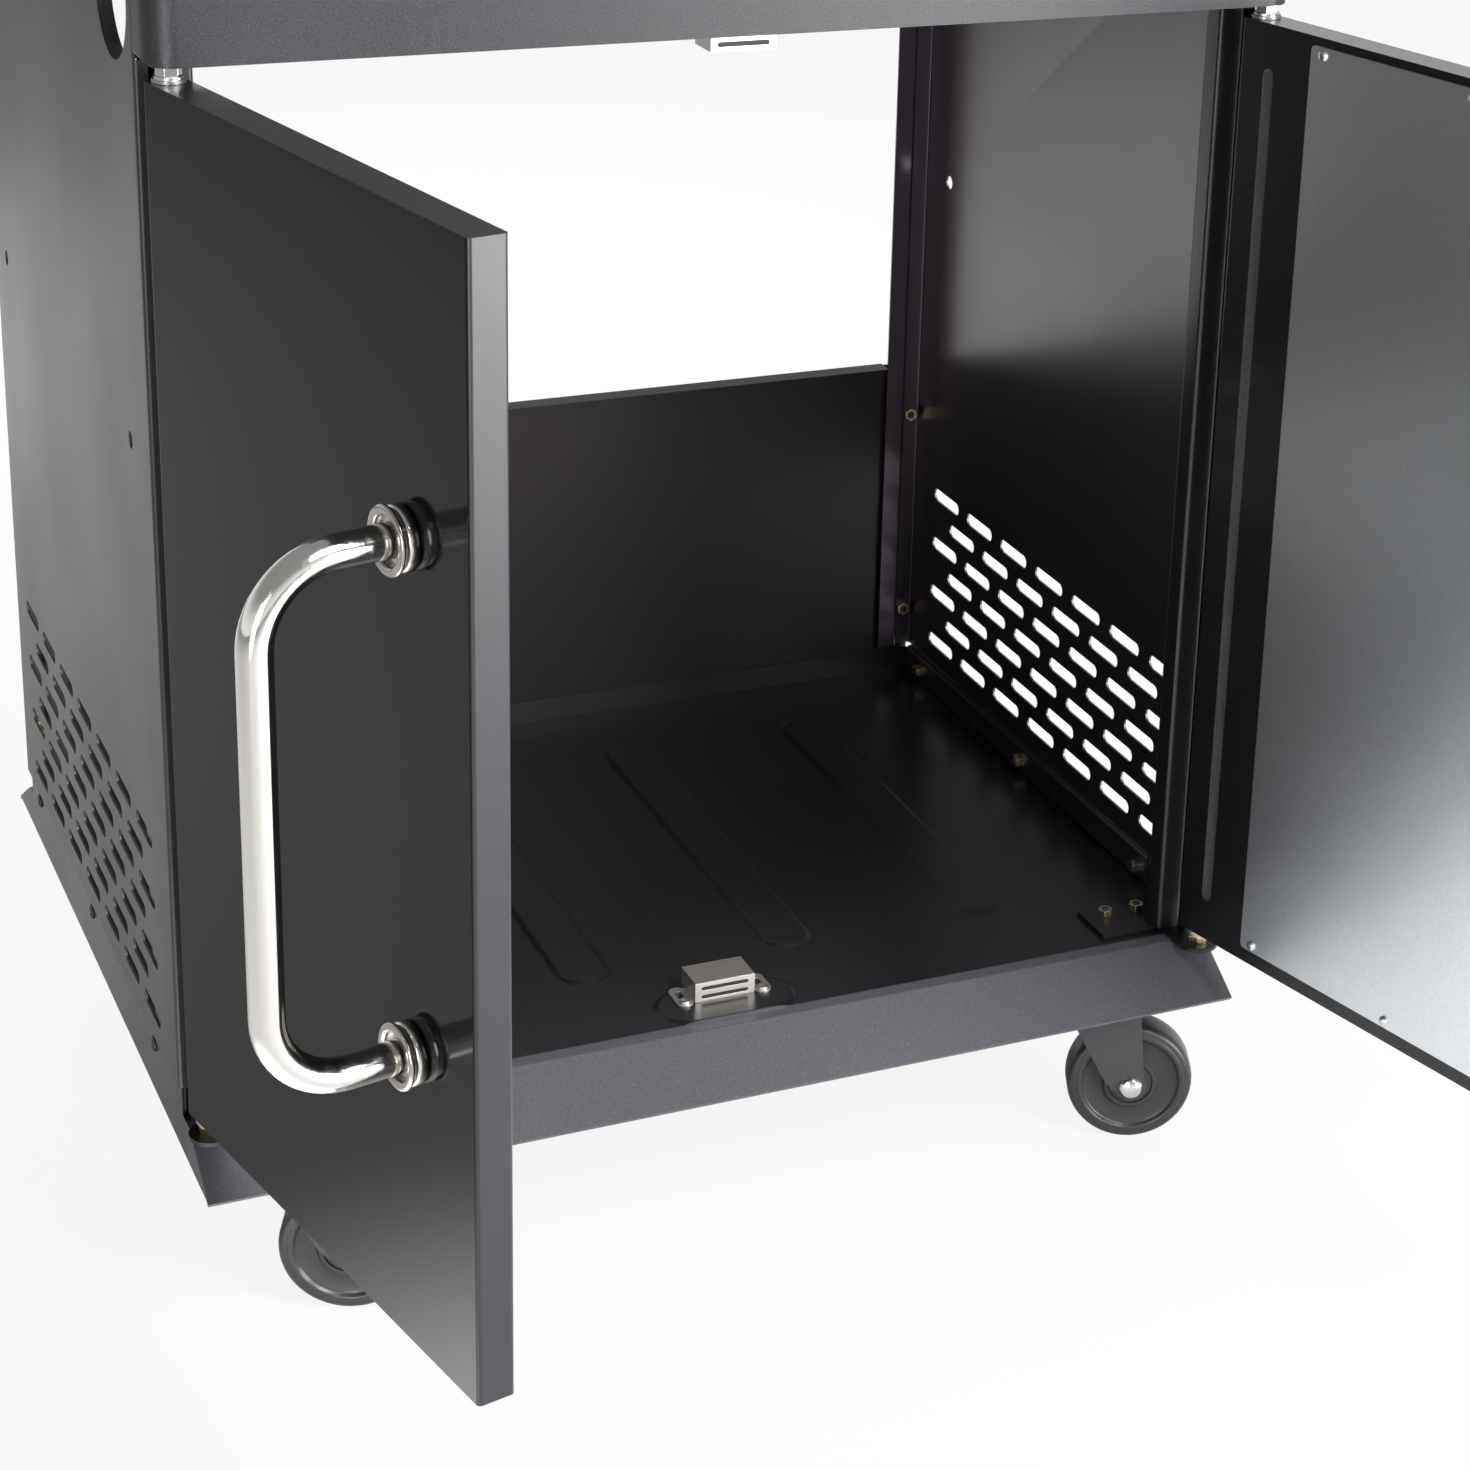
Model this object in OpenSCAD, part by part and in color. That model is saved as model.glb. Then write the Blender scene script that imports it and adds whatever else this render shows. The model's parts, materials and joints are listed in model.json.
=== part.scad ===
// Outdoor sink cabinet: folded sheet cabinet on swivel casters with two doors,
// magnetic catches, louvred side panels, a drawn sink bowl and a swivel tap.
// The front faces -Y, Z is up and z = 0 is the ground.

/* [Cabinet] */
// Width over the side panels
cab_w = 610; // [560:5:700]
// Depth over the side panels
cab_d = 420; // [400:5:480]
// Height of the worktop above the ground
top_z = 910; // [880:5:940]
// Upper edge of the rear panel
rear_panel_top = 350; // [300:5:450]
// Lower edge of the side panels
panel_z = 139; // [136:1:144]
// Thickness of the painted sheet
sheet = 1.2; // [1:0.1:1.5]
// Radius of the bends at the middle of the sheet
bend_r = 1.6; // [1.4:0.1:2.2]
// Radius of the upright corners of the fascia
fascia_r = 15; // [8:1:20]

/* [Side vents] */
// Slots in each odd row
vent_count = 7; // [5:1:7]
// Rows of slots
vent_rows = 7; // [3:2:9]
// Distance between slots in a row
vent_pitch = 51.5; // [46:0.5:52]
// Distance between rows
vent_row_pitch = 17.7; // [14:0.1:20]
// Length of a slot
vent_len = 38; // [20:1:40]
// Width of a slot
vent_w = 8.6; // [5:0.2:10]
// Height of the middle row
vent_z = 211; // [205:1:260]
// Diameter of the round port near the front top corner
port_d = 72; // [40:1:76]
// Height of the port
port_z = 713; // [700:1:760]

/* [Doors] */
// Height of a door
door_h = 545; // [480:1:546]
// Thickness of a door
door_t = 19; // [16:0.5:20]
// Lower edge of the doors
door_z = 135; // [134:1:140]
// Hinge axis, inwards from the outer face of the side panel
hinge_in = 12; // [10:0.5:14]
// Where the doors meet, to the right of the middle
meet_x = 5; // [0:1:8]
// Gap between the closed doors
door_gap = 4; // [3:0.5:6]
// Gap between the doors and the fascia
head_gap = 8; // [7.5:0.5:11]
// Opening of the left door as it stands
left_open = 78.1; // [0:0.1:120]
// Opening of the right door as it stands
right_open = 103.5; // [0:0.1:120]
// Width of the bare stile beside the hinge
stile_w = 54; // [40:1:60]

/* [Handles] */
// Distance between the two legs of a handle
handle_span = 246; // [200:2:280]
// Diameter of the handle tube
handle_d = 16; // [12:0.5:18]
// From the door face to the middle of the grip
handle_out = 70; // [50:1:76]
// Radius of the bends of the grip
handle_r = 38; // [26:1:40]
// From the hinge axis to the handle of the left door
handle_at = 240; // [200:1:250]
// Height of the middle of the handle
handle_z = 413; // [380:1:440]

/* [Base tray] */
// Height of the floor of the cabinet
floor_z = 122; // [120:1:126]
// Height of the lower edge of the skirt
skirt_z = 99; // [98:1:102]
// How far the skirt flares out
skirt_out = 38; // [24:1:44]
// Raise of the pressed ribs
rib_h = 2; // [1.6:0.1:2.5]
// Width of a pressed rib
rib_w = 32; // [24:1:40]

/* [Casters] */
// Diameter of the wheels
wheel_d = 75; // [65:1:76]
// Width of the wheels
wheel_w = 24; // [20:1:26]
// Distance of the wheel behind its swivel axis
trail = 20; // [16:1:24]
// Swivel axis, inwards from the side panel
caster_in = 65; // [60:1:90]
// Swivel axis, outwards from the middle, front and rear
caster_y = 215; // [190:1:218]
// Heading of the casters as they stand
caster_turn = -22.5; // [-90:0.1:90]

/* [Sink] */
// Length of the bowl
bowl_w = 400; // [340:5:420]
// Width of the bowl
bowl_d = 290; // [250:5:300]
// Depth of the bowl
bowl_h = 165; // [140:5:170]
// Radius of the bowl corners
bowl_r = 50; // [40:1:60]
// Radius between the walls and the bottom of the bowl
bowl_fillet = 25; // [16:1:30]
// Thickness of the stainless sheet
steel = 1.2; // [1:0.1:1.5]
// Height of the turned-down edge of the worktop
edge_h = 36; // [30:1:40]

/* [Tap] */
// Diameter of the spout tube
spout_d = 20; // [16:0.5:24]
// Reach of the spout
spout_reach = 130; // [110:2:150]
// Straight rise of the spout
spout_rise = 60; // [40:2:90]

/* [Hidden] */
$fn = 48;
hx = cab_w / 2;
hy = cab_d / 2;
mid = sheet / 2;
eps = 0.01;
// running clearances, in one place each
pin_play = 0.06;
wheel_play = 0.05;
swivel_play = 0.05;
tap_play = 0.05;
side_gap = 1.2;

px = hx - hinge_in;
py = -(hy + 20.5);
face_y = py - door_t / 2;
door_top = door_z + door_h;
fascia_z = door_top + head_gap;
left_w = px + meet_x - door_gap / 2;
right_w = px - meet_x - door_gap / 2;
stile_in = 8;
liner_t = 1;
pin_d = 8;
upper_screw_x = [hx - 46, hx - 28];
foot_screw_x = [hx - 48.5, hx - 27.5];
ear_screw_y = -hy + 23;
foot_screw_in = hy - 28;
foot_screw_y = -foot_screw_in;
bush_d = 13;
rear_screw_x = hx - 8;
rear_screw_z = [168, 312];
catch_w = 36;
catch_d = 22;
catch_h = 12;
catch_base = 1.2;
catch_x = meet_x + 2;
catch_y = -hy + 17;
catch_ear = 5.6;
catch_drop = 6.5;
emboss_len = 84;
emboss_w = 42;
emboss_y = catch_y - 1;
bracket_screw_in = 14;
fascia_screw_y = -hy - 12;
catch_low = floor_z + 1.5;
catch_high = fascia_z - catch_drop - catch_h;
rail_h = 62;
rib_slope = 3;
rib_len = 300;
hinge_nut = 11;
washer_d = 14;

wall_x = hx - 2.5;
fold_y = hy + 11;
skirt_y = fold_y + skirt_out;
wall_top = panel_z - 1.8;
upstand_h = 15;
post_x = hx - 28;
post_z = floor_z + 2.5;
under_top = top_z - 1.5;
vent_y = 3;
port_y = -164;
stud_z = 484;
stud_y = [port_y, 174];
stud_d = 9;

plate_t = 2.5;
plate_w = 58;
plate_bolt = 21.5;
channel_t = 2;
caster_top = skirt_z + 1.5;
axle_z = wheel_d / 2;
swx = hx - caster_in - 2;
swy = caster_y;
race_d = 44;
fork_top = caster_top - plate_t - 8;
fork_t = 2.5;
fork_in = wheel_w / 2 + side_gap;

bowl_y = -25;
bowl_z = under_top - bowl_h;
tap_y = 175;

function unit(v) = v / norm(v);

// A folded sheet in section: a path of square corners, each with a true bend.
module fold(p, t = sheet, r = bend_r) {
    for (i = [0:len(p) - 2]) {
        d = unit(p[i + 1] - p[i]);
        a = i == 0 ? p[i] : p[i] + d * r;
        b = i == len(p) - 2 ? p[i + 1] : p[i + 1] - d * r;
        n = [abs(d[1]), abs(d[0])] * t / 2;
        lo = [min(a[0], b[0]), min(a[1], b[1])] - n;
        hi = [max(a[0], b[0]), max(a[1], b[1])] + n;
        translate(lo) square(hi - lo);
    }
    for (i = [1:len(p) - 2]) {
        d1 = unit(p[i] - p[i - 1]);
        d2 = unit(p[i + 1] - p[i]);
        c = p[i] - d1 * r + d2 * r;
        q = d1 - d2;
        side = r + t;
        intersection() {
            translate(c) difference() {
                circle(r + t / 2);
                circle(r - t / 2);
            }
            translate(c + [q[0] < 0 ? -side : 0, q[1] < 0 ? -side : 0]) square(side);
        }
    }
}

// A rectangle with rounded corners, centred.
module round_rect(w, d, r) {
    union() {
        square([w - 2 * r, d], center = true);
        square([w, d - 2 * r], center = true);
        for (x = [-1, 1], y = [-1, 1])
            translate([x * (w / 2 - r), y * (d / 2 - r)]) circle(r);
    }
}

// A slot with round ends along X, centred.
module slot2d(len, w) {
    square([len - w, w], center = true);
    for (s = [-1, 1]) translate([s * (len - w) / 2, 0]) circle(d = w);
}

// Extrudes a profile drawn in Y and Z along X, from x0 to x1.
module along_x(x0, x1) {
    translate([x0, 0, 0]) rotate([90, 0, 90]) linear_extrude(x1 - x0) children();
}

// Extrudes a profile drawn in X and Z along Y, from y0 to y1.
module along_y(y0, y1) {
    translate([0, y1, 0]) rotate([90, 0, 0]) linear_extrude(y1 - y0) children();
}

module left() {
    mirror([1, 0, 0]) children();
}

module both() {
    children();
    mirror([1, 0, 0]) children();
}

// A hexagon nut on its seat, axis along Z.
module nut(s = 10, h = 5, d = 6) {
    linear_extrude(h) difference() {
        circle(d = s / cos(30), $fn = 6);
        circle(d = d, $fn = 24);
    }
}

// A pan head screw: the head stands on z = 0, the shank goes down.
module pan_screw(head = 9, head_h = 2.6, d = 4.8, len = 6) {
    rotate_extrude($fn = 32) polygon([
        [0, -len], [d / 2, -len], [d / 2, 0], [head / 2, 0],
        [head / 2, head_h * 0.45], [head * 0.36, head_h * 0.85], [head * 0.2, head_h], [0, head_h]
    ]);
}

// A rib pressed up out of the sheet: sloping sides, and the same section turned at the ends.
module pressed_rib(len, w, h) {
    lean = sheet / sin(atan2(h, rib_slope)) - sheet * rib_slope / h;
    flat = w / 2 - rib_slope;
    half = [
        [0, h], [flat, h], [w / 2, 0], [w / 2, -sheet], [w / 2 - lean, -sheet],
        [flat - lean, h - sheet], [0, h - sheet]
    ];
    for (m = [0, 1]) {
        mirror([m, 0, 0]) translate([(len - w) / 2, 0, 0]) rotate([0, 0, -90])
            rotate_extrude(angle = 180) polygon(half);
        mirror([0, m, 0]) along_x(-(len - w) / 2, (len - w) / 2) polygon(half);
    }
}

// The sheet is open under a rib; the rim of the rib bites a little into it.
module rib_opening(len, w) {
    translate([0, 0, -sheet - eps]) linear_extrude(sheet + 1) slot2d(len - 0.2, w - 0.2);
}

module catch_screw_places(z) {
    for (s = [-1, 1])
        translate([catch_x + s * (catch_w / 2 + catch_ear), catch_y + 2, z]) children();
}

module rib_places() {
    for (x = [-3, -1, 1, 3])
        translate([meet_x + x * 62.5, 0, floor_z]) rotate([0, 0, 90]) children();
}

// The front or rear skirt in section: a sloping face with a doubled hem at its foot.
module skirt_section() {
    run = skirt_y - fold_y;
    drop = floor_z - skirt_z;
    slope = [run, -drop] / norm([run, drop]);
    inner = [-slope[1], slope[0]] * -1;
    top = [fold_y, floor_z];
    foot = [skirt_y, skirt_z];
    hem = 7;
    polygon([
        top, foot, foot + inner * 2 * sheet, foot + inner * 2 * sheet - slope * hem,
        foot + inner * sheet - slope * hem, top + inner * sheet + [-0.4, -0.1],
        [fold_y - 6, floor_z - sheet], [fold_y - 6, floor_z]
    ]);
}

module base_tray() {
    color("#3c3b3e") union() {
        difference() {
            translate([-wall_x, -fold_y, floor_z - sheet]) cube([2 * wall_x, 2 * fold_y, sheet]);
            rib_places() rib_opening(rib_len, rib_w);
            translate([catch_x, emboss_y, floor_z]) rib_opening(emboss_len, emboss_w);
            for (s = [-1, 1], x = foot_screw_x) translate([s * x, foot_screw_y, floor_z - 3])
                cylinder(h = 6, d = 5, $fn = 24);
        }
        rib_places() pressed_rib(rib_len, rib_w, rib_h);
        difference() {
            translate([catch_x, emboss_y, floor_z]) pressed_rib(emboss_len, emboss_w, catch_low - floor_z);
            catch_screw_places(catch_low) translate([0, 0, -3]) cylinder(h = 6, d = 4, $fn = 24);
        }
        for (m = [0, 1]) mirror([0, m, 0]) along_x(-wall_x, wall_x) skirt_section();
        both() along_x(wall_x - sheet, wall_x) difference() {
            polygon([
                [-skirt_y, skirt_z], [-fold_y, floor_z], [-hy + 5, floor_z], [-hy + 5, wall_top],
                [hy, wall_top], [hy, floor_z], [fold_y, floor_z], [skirt_y, skirt_z]
            ]);
            for (y = wall_screw_y) translate([y, floor_z + 8]) circle(d = 5, $fn = 24);
        }
        translate([-wall_x + 4, hy - sheet, floor_z - eps]) cube([2 * (wall_x - 4), sheet, upstand_h]);
    }
}

wall_screw_y = [182, 24, -140];

// Two hat channels under the floor carry the caster plates.
module caster_channels() {
    inner_y = foot_screw_in - 10;
    outer_y = fold_y - 5;
    color("#2c2b2d") for (m = [0, 1]) mirror([0, m, 0]) difference() {
        along_x(-wall_x + 8, wall_x - 8) union() {
            fold([
                [inner_y - 14, floor_z - sheet - channel_t / 2], [inner_y, floor_z - sheet - channel_t / 2],
                [inner_y, caster_top + channel_t / 2], [swy + 27, caster_top + channel_t / 2]
            ], channel_t, 2.6);
            translate([outer_y - channel_t, caster_top]) square([channel_t, floor_z - sheet - caster_top]);
        }
        for (x = [-swx, swx]) {
            for (sx = [-1, 1], sy = [-1, 1])
                translate([x + sx * plate_bolt, swy + sy * plate_bolt, 0]) cylinder(h = 200, d = 6.4);
            translate([x, swy, 0]) cylinder(h = 110, d = 14);
        }
    }
}

module vent_field() {
    half = (vent_rows - 1) / 2;
    for (r = [-half:half]) {
        odd = abs(r + half) % 2 == 0;
        n = odd ? vent_count : vent_count - 1;
        for (i = [0:n - 1])
            translate([vent_y + (i - (n - 1) / 2) * vent_pitch, vent_z + r * vent_row_pitch])
                slot2d(vent_len, vent_w);
    }
}

// The right panel. Its two stud holes stay open, for ties to the next unit.
module side_panel() {
    x = hx - mid;
    collar = 5;
    difference() {
        union() {
            translate([0, 0, panel_z + bend_r])
                linear_extrude(under_top - bend_r - panel_z - bend_r) fold([
                    [x - 6.2, -hy + mid], [x, -hy + mid], [x, hy - mid], [x - 13, hy - mid],
                    [x - 13, hy - mid - 3.6], [x - 26, hy - mid - 3.6]
                ]);
            along_y(-hy + 6, hy - 6) fold([
                [x - 16, under_top - mid], [x, under_top - mid], [x, panel_z + mid],
                [wall_x - sheet - mid, panel_z + mid], [wall_x - sheet - mid, floor_z + 1]
            ]);
            // rolled collar of the round port
            translate([hx, port_y, port_z]) rotate([0, -90, 0])
                rotate_extrude($fn = 72) translate([port_d / 2 + 2.4, 2.4]) difference() {
                    intersection() {
                        circle(2.4);
                        translate([-3, -3]) square(3);
                    }
                    circle(2.4 - sheet);
                }
            translate([hx, port_y, port_z]) rotate([0, -90, 0]) translate([0, 0, 2.4 - eps])
                linear_extrude(collar) difference() {
                    circle(d = port_d + 2 * sheet, $fn = 72);
                    circle(d = port_d, $fn = 72);
                }
        }
        translate([hx - sheet - eps, 0, 0]) rotate([90, 0, 90]) linear_extrude(3) vent_field();
        // the port is open, and the collar fills the ring round it
        translate([hx, port_y, port_z]) rotate([0, -90, 0]) difference() {
            translate([0, 0, -1]) cylinder(h = 1 + sheet + 0.4, d = port_d + 4.8, $fn = 72);
            rotate_extrude($fn = 72) translate([port_d / 2 + 2.4, 2.4]) difference() {
                translate([-2.4, -2.4]) square(2.4);
                circle(2.4 - sheet);
            }
        }
        translate([hx - 20, port_y, port_z]) rotate([0, 90, 0]) cylinder(h = 40, d = port_d, $fn = 72);
        // no front lip behind the fascia
        translate([hx - 12, -hy - 1, fascia_z - 2]) cube([12 - sheet, 1 + 2 * sheet, top_z]);
        for (y = wall_screw_y)
            translate([wall_x - 6, y, floor_z + 8]) rotate([0, 90, 0]) cylinder(h = 12, d = 5, $fn = 24);
        for (z = rear_screw_z)
            translate([rear_screw_x, hy - 5, z]) rotate([-90, 0, 0]) cylinder(h = 10, d = 5, $fn = 24);
        for (y = stud_y) translate([hx - 5, y, stud_z]) rotate([0, 90, 0]) cylinder(h = 10, d = stud_d);
    }
}

module side_panel_left() {
    color("#5d5a57") left() side_panel();
}

module side_panel_right() {
    color("#2b2a2b") side_panel();
}

module rear_sheet(z0, z1, lip) {
    difference() {
        union() {
            along_x(-hx + 3, hx - 3)
                translate([hy, z0]) square([sheet, z1 - z0 - bend_r]);
            along_x(-hx + 30, hx - 30) fold([
                [hy + mid, z0 + 4], [hy + mid, z1 - mid], [hy - lip, z1 - mid]
            ]);
        }
    }
}

module rear_panel() {
    color("#343236") difference() {
        rear_sheet(floor_z, rear_panel_top, 14);
        for (x = [-1, 1], z = rear_screw_z)
            translate([x * rear_screw_x, hy - 5, z]) rotate([-90, 0, 0]) cylinder(h = 12, d = 5, $fn = 24);
    }
}

module rear_top_rail() {
    color("#343236") rear_sheet(under_top - rail_h, under_top, 7);
}

module front_post() {
    difference() {
        translate([0, 0, post_z]) linear_extrude(under_top - 6 - post_z) fold([
            [post_x + mid, -hy + 13], [post_x + mid, -hy + mid], [post_x + 15 - mid, -hy + mid],
            [post_x + 15 - mid, -hy + 30], [hx - sheet - mid, -hy + 30], [hx - sheet - mid, port_y + 12]
        ]);
        // clear of the lower flange of the side panel
        translate([wall_x - sheet - 1.6, -hy, 0]) cube([10, 60, panel_z + 3]);
        for (z = bracket_nut_z)
            translate([post_x, ear_screw_y, z]) rotate([0, 90, 0]) cylinder(h = 20, d = 5, $fn = 24);
        translate([hx - 5, stud_y[0], stud_z]) rotate([0, 90, 0]) cylinder(h = 10, d = stud_d);
        // the inner flange ends below the port, and the web is notched round its collar
        translate([post_x + 15, -hy + 30 + mid, port_z - port_d / 2 - 12]) cube([20, 60, top_z]);
        translate([hx - 8, port_y, port_z]) rotate([0, 90, 0]) cylinder(h = 10, d = port_d + 10, $fn = 72);
    }
}

bracket_nut_z = [post_z + 12, post_z + 32];

module front_post_left() {
    color("#2f2e31") left() front_post();
}

module front_post_right() {
    color("#2f2e31") front_post();
}

module fascia_plan(grow) {
    r = fascia_r - grow;
    w = hx - grow;
    y0 = face_y + grow;
    difference() {
        union() {
            translate([-w, y0 + r]) square([2 * w, -hy - y0 - r]);
            translate([-w + r, y0]) square([2 * (w - r), r + 1]);
            for (s = [-1, 1]) translate([s * (w - r), y0 + r]) circle(r);
        }
    }
}

module fascia() {
    h = under_top - fascia_z;
    color("#56555a") intersection() {
        union() {
            translate([0, 0, fascia_z]) linear_extrude(h) difference() {
                fascia_plan(0);
                fascia_plan(sheet);
                translate([-hx + sheet, -hy - 2]) square([2 * (hx - sheet), 4]);
            }
            for (z = [fascia_z, under_top - sheet]) translate([0, 0, z]) linear_extrude(sheet) difference() {
                fascia_plan(0);
                translate([-hx, -hy - 2]) square([2 * hx, 4]);
                for (s = [-1, 1]) {
                    translate([s * px, py]) circle(d = pin_d);
                    for (x = upper_screw_x) translate([s * x, py + 4]) circle(d = 5, $fn = 24);
                }
                for (x = [-bracket_screw_in, bracket_screw_in])
                    translate([catch_x + x, fascia_screw_y]) circle(d = 5, $fn = 24);
            }
            // tabs that lie inside the side panels
            both() translate([hx - 2 * sheet, -hy - 12, fascia_z + 12]) cube([sheet, 17, h - 24]);
        }
        along_y(2 * face_y, 0) translate([0, fascia_z + h / 2]) round_rect(cab_w, h, 4);
    }
}

// Lower hinge bracket: a foot on the floor, an ear against the post and a tongue for the pin.
module hinge_bracket_lower() {
    difference() {
        union() {
            translate([0, 0, floor_z]) linear_extrude(plate_t) {
                translate([hx - 62, -hy + 4]) square([56.5, 34]);
                translate([px - 12, py]) square([18.5, -hy + 5 - py]);
                translate([px, py]) circle(12);
            }
            translate([post_x + 15 - sheet - plate_t, -hy + 14, floor_z]) cube([plate_t, 22, 46]);
        }
        translate([px, py, floor_z - 1]) cylinder(h = 5, d = pin_d);
        for (x = foot_screw_x)
            translate([x, foot_screw_y, floor_z - 1]) cylinder(h = 5, d = 5, $fn = 24);
        for (z = bracket_nut_z)
            translate([post_x, ear_screw_y, z]) rotate([0, 90, 0]) cylinder(h = 20, d = 5, $fn = 24);
    }
}

// Upper hinge bracket: a plate on the lower flange of the fascia with a stiffening upstand.
module hinge_bracket_upper() {
    z = fascia_z + sheet;
    wide = 48;
    deep = 26;
    difference() {
        union() {
            translate([0, 0, z]) linear_extrude(plate_t) intersection() {
                translate([hx - 6 - wide, py + 18 - deep]) square([wide, deep]);
                fascia_plan(sheet + 0.3);
            }
            translate([hx - 6 - wide, py + 18 - plate_t, z]) cube([wide, plate_t, 20]);
        }
        translate([px, py, z - 1]) cylinder(h = 5, d = pin_d);
        for (x = upper_screw_x) translate([x, py + 4, z - 1]) cylinder(h = 5, d = 5, $fn = 24);
    }
}

module hinge_brackets_lower() {
    color("#2c2b2d") both() hinge_bracket_lower();
}

module hinge_brackets_upper() {
    color("#2c2b2d") both() hinge_bracket_upper();
}

low_nut_z = floor_z + plate_t;
low_wash_z = low_nut_z + 5;
low_bush_z = low_wash_z + 1.5;
high_nut_z = fascia_z - 5;
high_wash_z = high_nut_z - 1.2;
pin_in = 24;

module hinge_pins() {
    color("#c9cacc") both() translate([px, py, 0]) {
        translate([0, 0, floor_z - 2.5]) cylinder(h = 2.5, d = 12);
        translate([0, 0, floor_z - 0.5]) cylinder(h = door_z + pin_in - floor_z + 0.5, d = pin_d);
        translate([0, 0, door_top - pin_in]) cylinder(h = fascia_z + sheet + plate_t + 1 - door_top + pin_in, d = pin_d);
        translate([0, 0, high_nut_z]) cylinder(h = 5, d = hinge_nut / cos(30), $fn = 6);
        translate([0, 0, fascia_z + sheet + plate_t]) cylinder(h = 5.3, d = 13 / cos(30), $fn = 6);
    }
}

module hinge_washers() {
    color("#b89a58") both() translate([px, py, 0]) for (w = [[low_wash_z, 1.5], [high_wash_z, 1.2]])
        translate([0, 0, w[0]]) linear_extrude(w[1]) difference() {
            circle(d = washer_d);
            circle(d = pin_d);
        }
}

// All zinc plated nuts of the frame, one group.
module frame_nuts() {
    color("#c8b067") {
        both() {
            translate([px, py, low_nut_z]) nut(hinge_nut, 5, pin_d);
            for (x = foot_screw_x) translate([x, foot_screw_y, floor_z + plate_t]) nut(8, 4, 5);
            for (z = bracket_nut_z)
                translate([post_x + 15 - sheet - plate_t, ear_screw_y, z]) rotate([0, -90, 0]) nut(8, 4, 5);
            for (y = wall_screw_y)
                translate([wall_x - 2 * sheet, y, floor_z + 8]) rotate([0, -90, 0]) nut(8, 4, 5);
            for (z = rear_screw_z)
                translate([rear_screw_x, hy - sheet, z]) rotate([90, 30, 0]) nut(8, 4, 5);
            for (x = upper_screw_x) translate([x, py + 4, fascia_z + sheet + plate_t]) nut(8, 4, 5);
        }
        for (sx = [-1, 1], sy = [-1, 1], bx = [-1, 1], by = [-1, 1])
            translate([sx * swx + bx * plate_bolt, sy * swy + by * plate_bolt, caster_top + channel_t])
                nut(10, 5, 6);
        for (x = [-bracket_screw_in, bracket_screw_in])
            translate([catch_x + x, fascia_screw_y, fascia_z + sheet]) nut(8, 4, 5);
    }
}

// All screws of the frame, one group.
module frame_screws() {
    color("#4a494c") {
        both() {
            for (x = foot_screw_x)
                translate([x, foot_screw_y, floor_z - sheet]) mirror([0, 0, 1])
                    pan_screw(9, 2.6, 5, sheet + plate_t + 4.5);
            for (z = bracket_nut_z)
                translate([post_x + 15, ear_screw_y, z]) rotate([0, 90, 0])
                    pan_screw(9, 2.6, 5, sheet + plate_t + 4.5);
            for (y = wall_screw_y)
                translate([wall_x, y, floor_z + 8]) rotate([0, 90, 0]) pan_screw(9, 2.2, 5, 2 * sheet + 4.5);
            for (z = rear_screw_z)
                translate([rear_screw_x, hy + sheet, z]) rotate([-90, 0, 0]) pan_screw(9, 2.6, 5, 2 * sheet + 4.5);
            for (x = upper_screw_x)
                translate([x, py + 4, fascia_z]) mirror([0, 0, 1]) pan_screw(9, 2.2, 5, sheet + plate_t + 4.5);
        }
        for (x = [-bracket_screw_in, bracket_screw_in])
            translate([catch_x + x, fascia_screw_y, fascia_z - sheet]) mirror([0, 0, 1])
                pan_screw(9, 2.2, 5, 2 * sheet + 4.5);
        catch_screw_places(catch_low + catch_base) pan_screw(7, 1.8, 4, 5);
        catch_screw_places(catch_high + catch_h - catch_base) mirror([0, 0, 1]) pan_screw(7, 1.8, 4, 5);
        for (sx = [-1, 1], sy = [-1, 1], bx = [-1, 1], by = [-1, 1])
            translate([sx * swx + bx * plate_bolt, sy * swy + by * plate_bolt, caster_top - plate_t])
                mirror([0, 0, 1]) pan_screw(10, 3, 6, plate_t + channel_t + 5.5);
    }
}

// The upper catch hangs from this joggled strip, which is screwed under the fascia.
module catch_bracket() {
    half = catch_w / 2 + 2 * catch_ear;
    top = fascia_z - mid;
    low = fascia_z - catch_drop + mid;
    color("#2c2b2d") difference() {
        along_x(catch_x - half, catch_x + half) fold([
            [fascia_screw_y - 10, top], [fascia_screw_y + 14, top], [fascia_screw_y + 14, low],
            [catch_y + catch_d + 3, low]
        ]);
        for (x = [-bracket_screw_in, bracket_screw_in])
            translate([catch_x + x, fascia_screw_y, top - 2]) cylinder(h = 4, d = 5, $fn = 24);
        catch_screw_places(low) translate([0, 0, -2]) cylinder(h = 4, d = 4, $fn = 24);
    }
}

// One magnetic catch, base down: a folded stainless case with two pole slots and two slotted ears.
pole_z = [1.9, 7.1];
pole_t = 2;

module catch_case() {
    ear_x = catch_w / 2 + catch_ear;
    difference() {
        union() {
            translate([-catch_w / 2, catch_y, 0]) cube([catch_w, catch_d, catch_h]);
            linear_extrude(catch_base) for (s = [-1, 1]) translate([s * ear_x, catch_y + 8]) {
                rotate(90) slot2d(22, 10);
                translate([-s * 5 - 2, -6]) square([4, 15]);
            }
        }
        translate([-catch_w / 2 + 1.2, catch_y + 1.2, -1]) cube([catch_w - 2.4, catch_d - 2.4, catch_h - 0.2]);
        for (z = pole_z) translate([0, catch_y + 3, z + pole_t / 2]) rotate([90, 0, 0])
            linear_extrude(4) slot2d(28.4, pole_t + 0.4);
        for (s = [-1, 1]) translate([s * ear_x, catch_y + 7, -1]) linear_extrude(4) rotate(90) slot2d(14, 4);
    }
}

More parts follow.
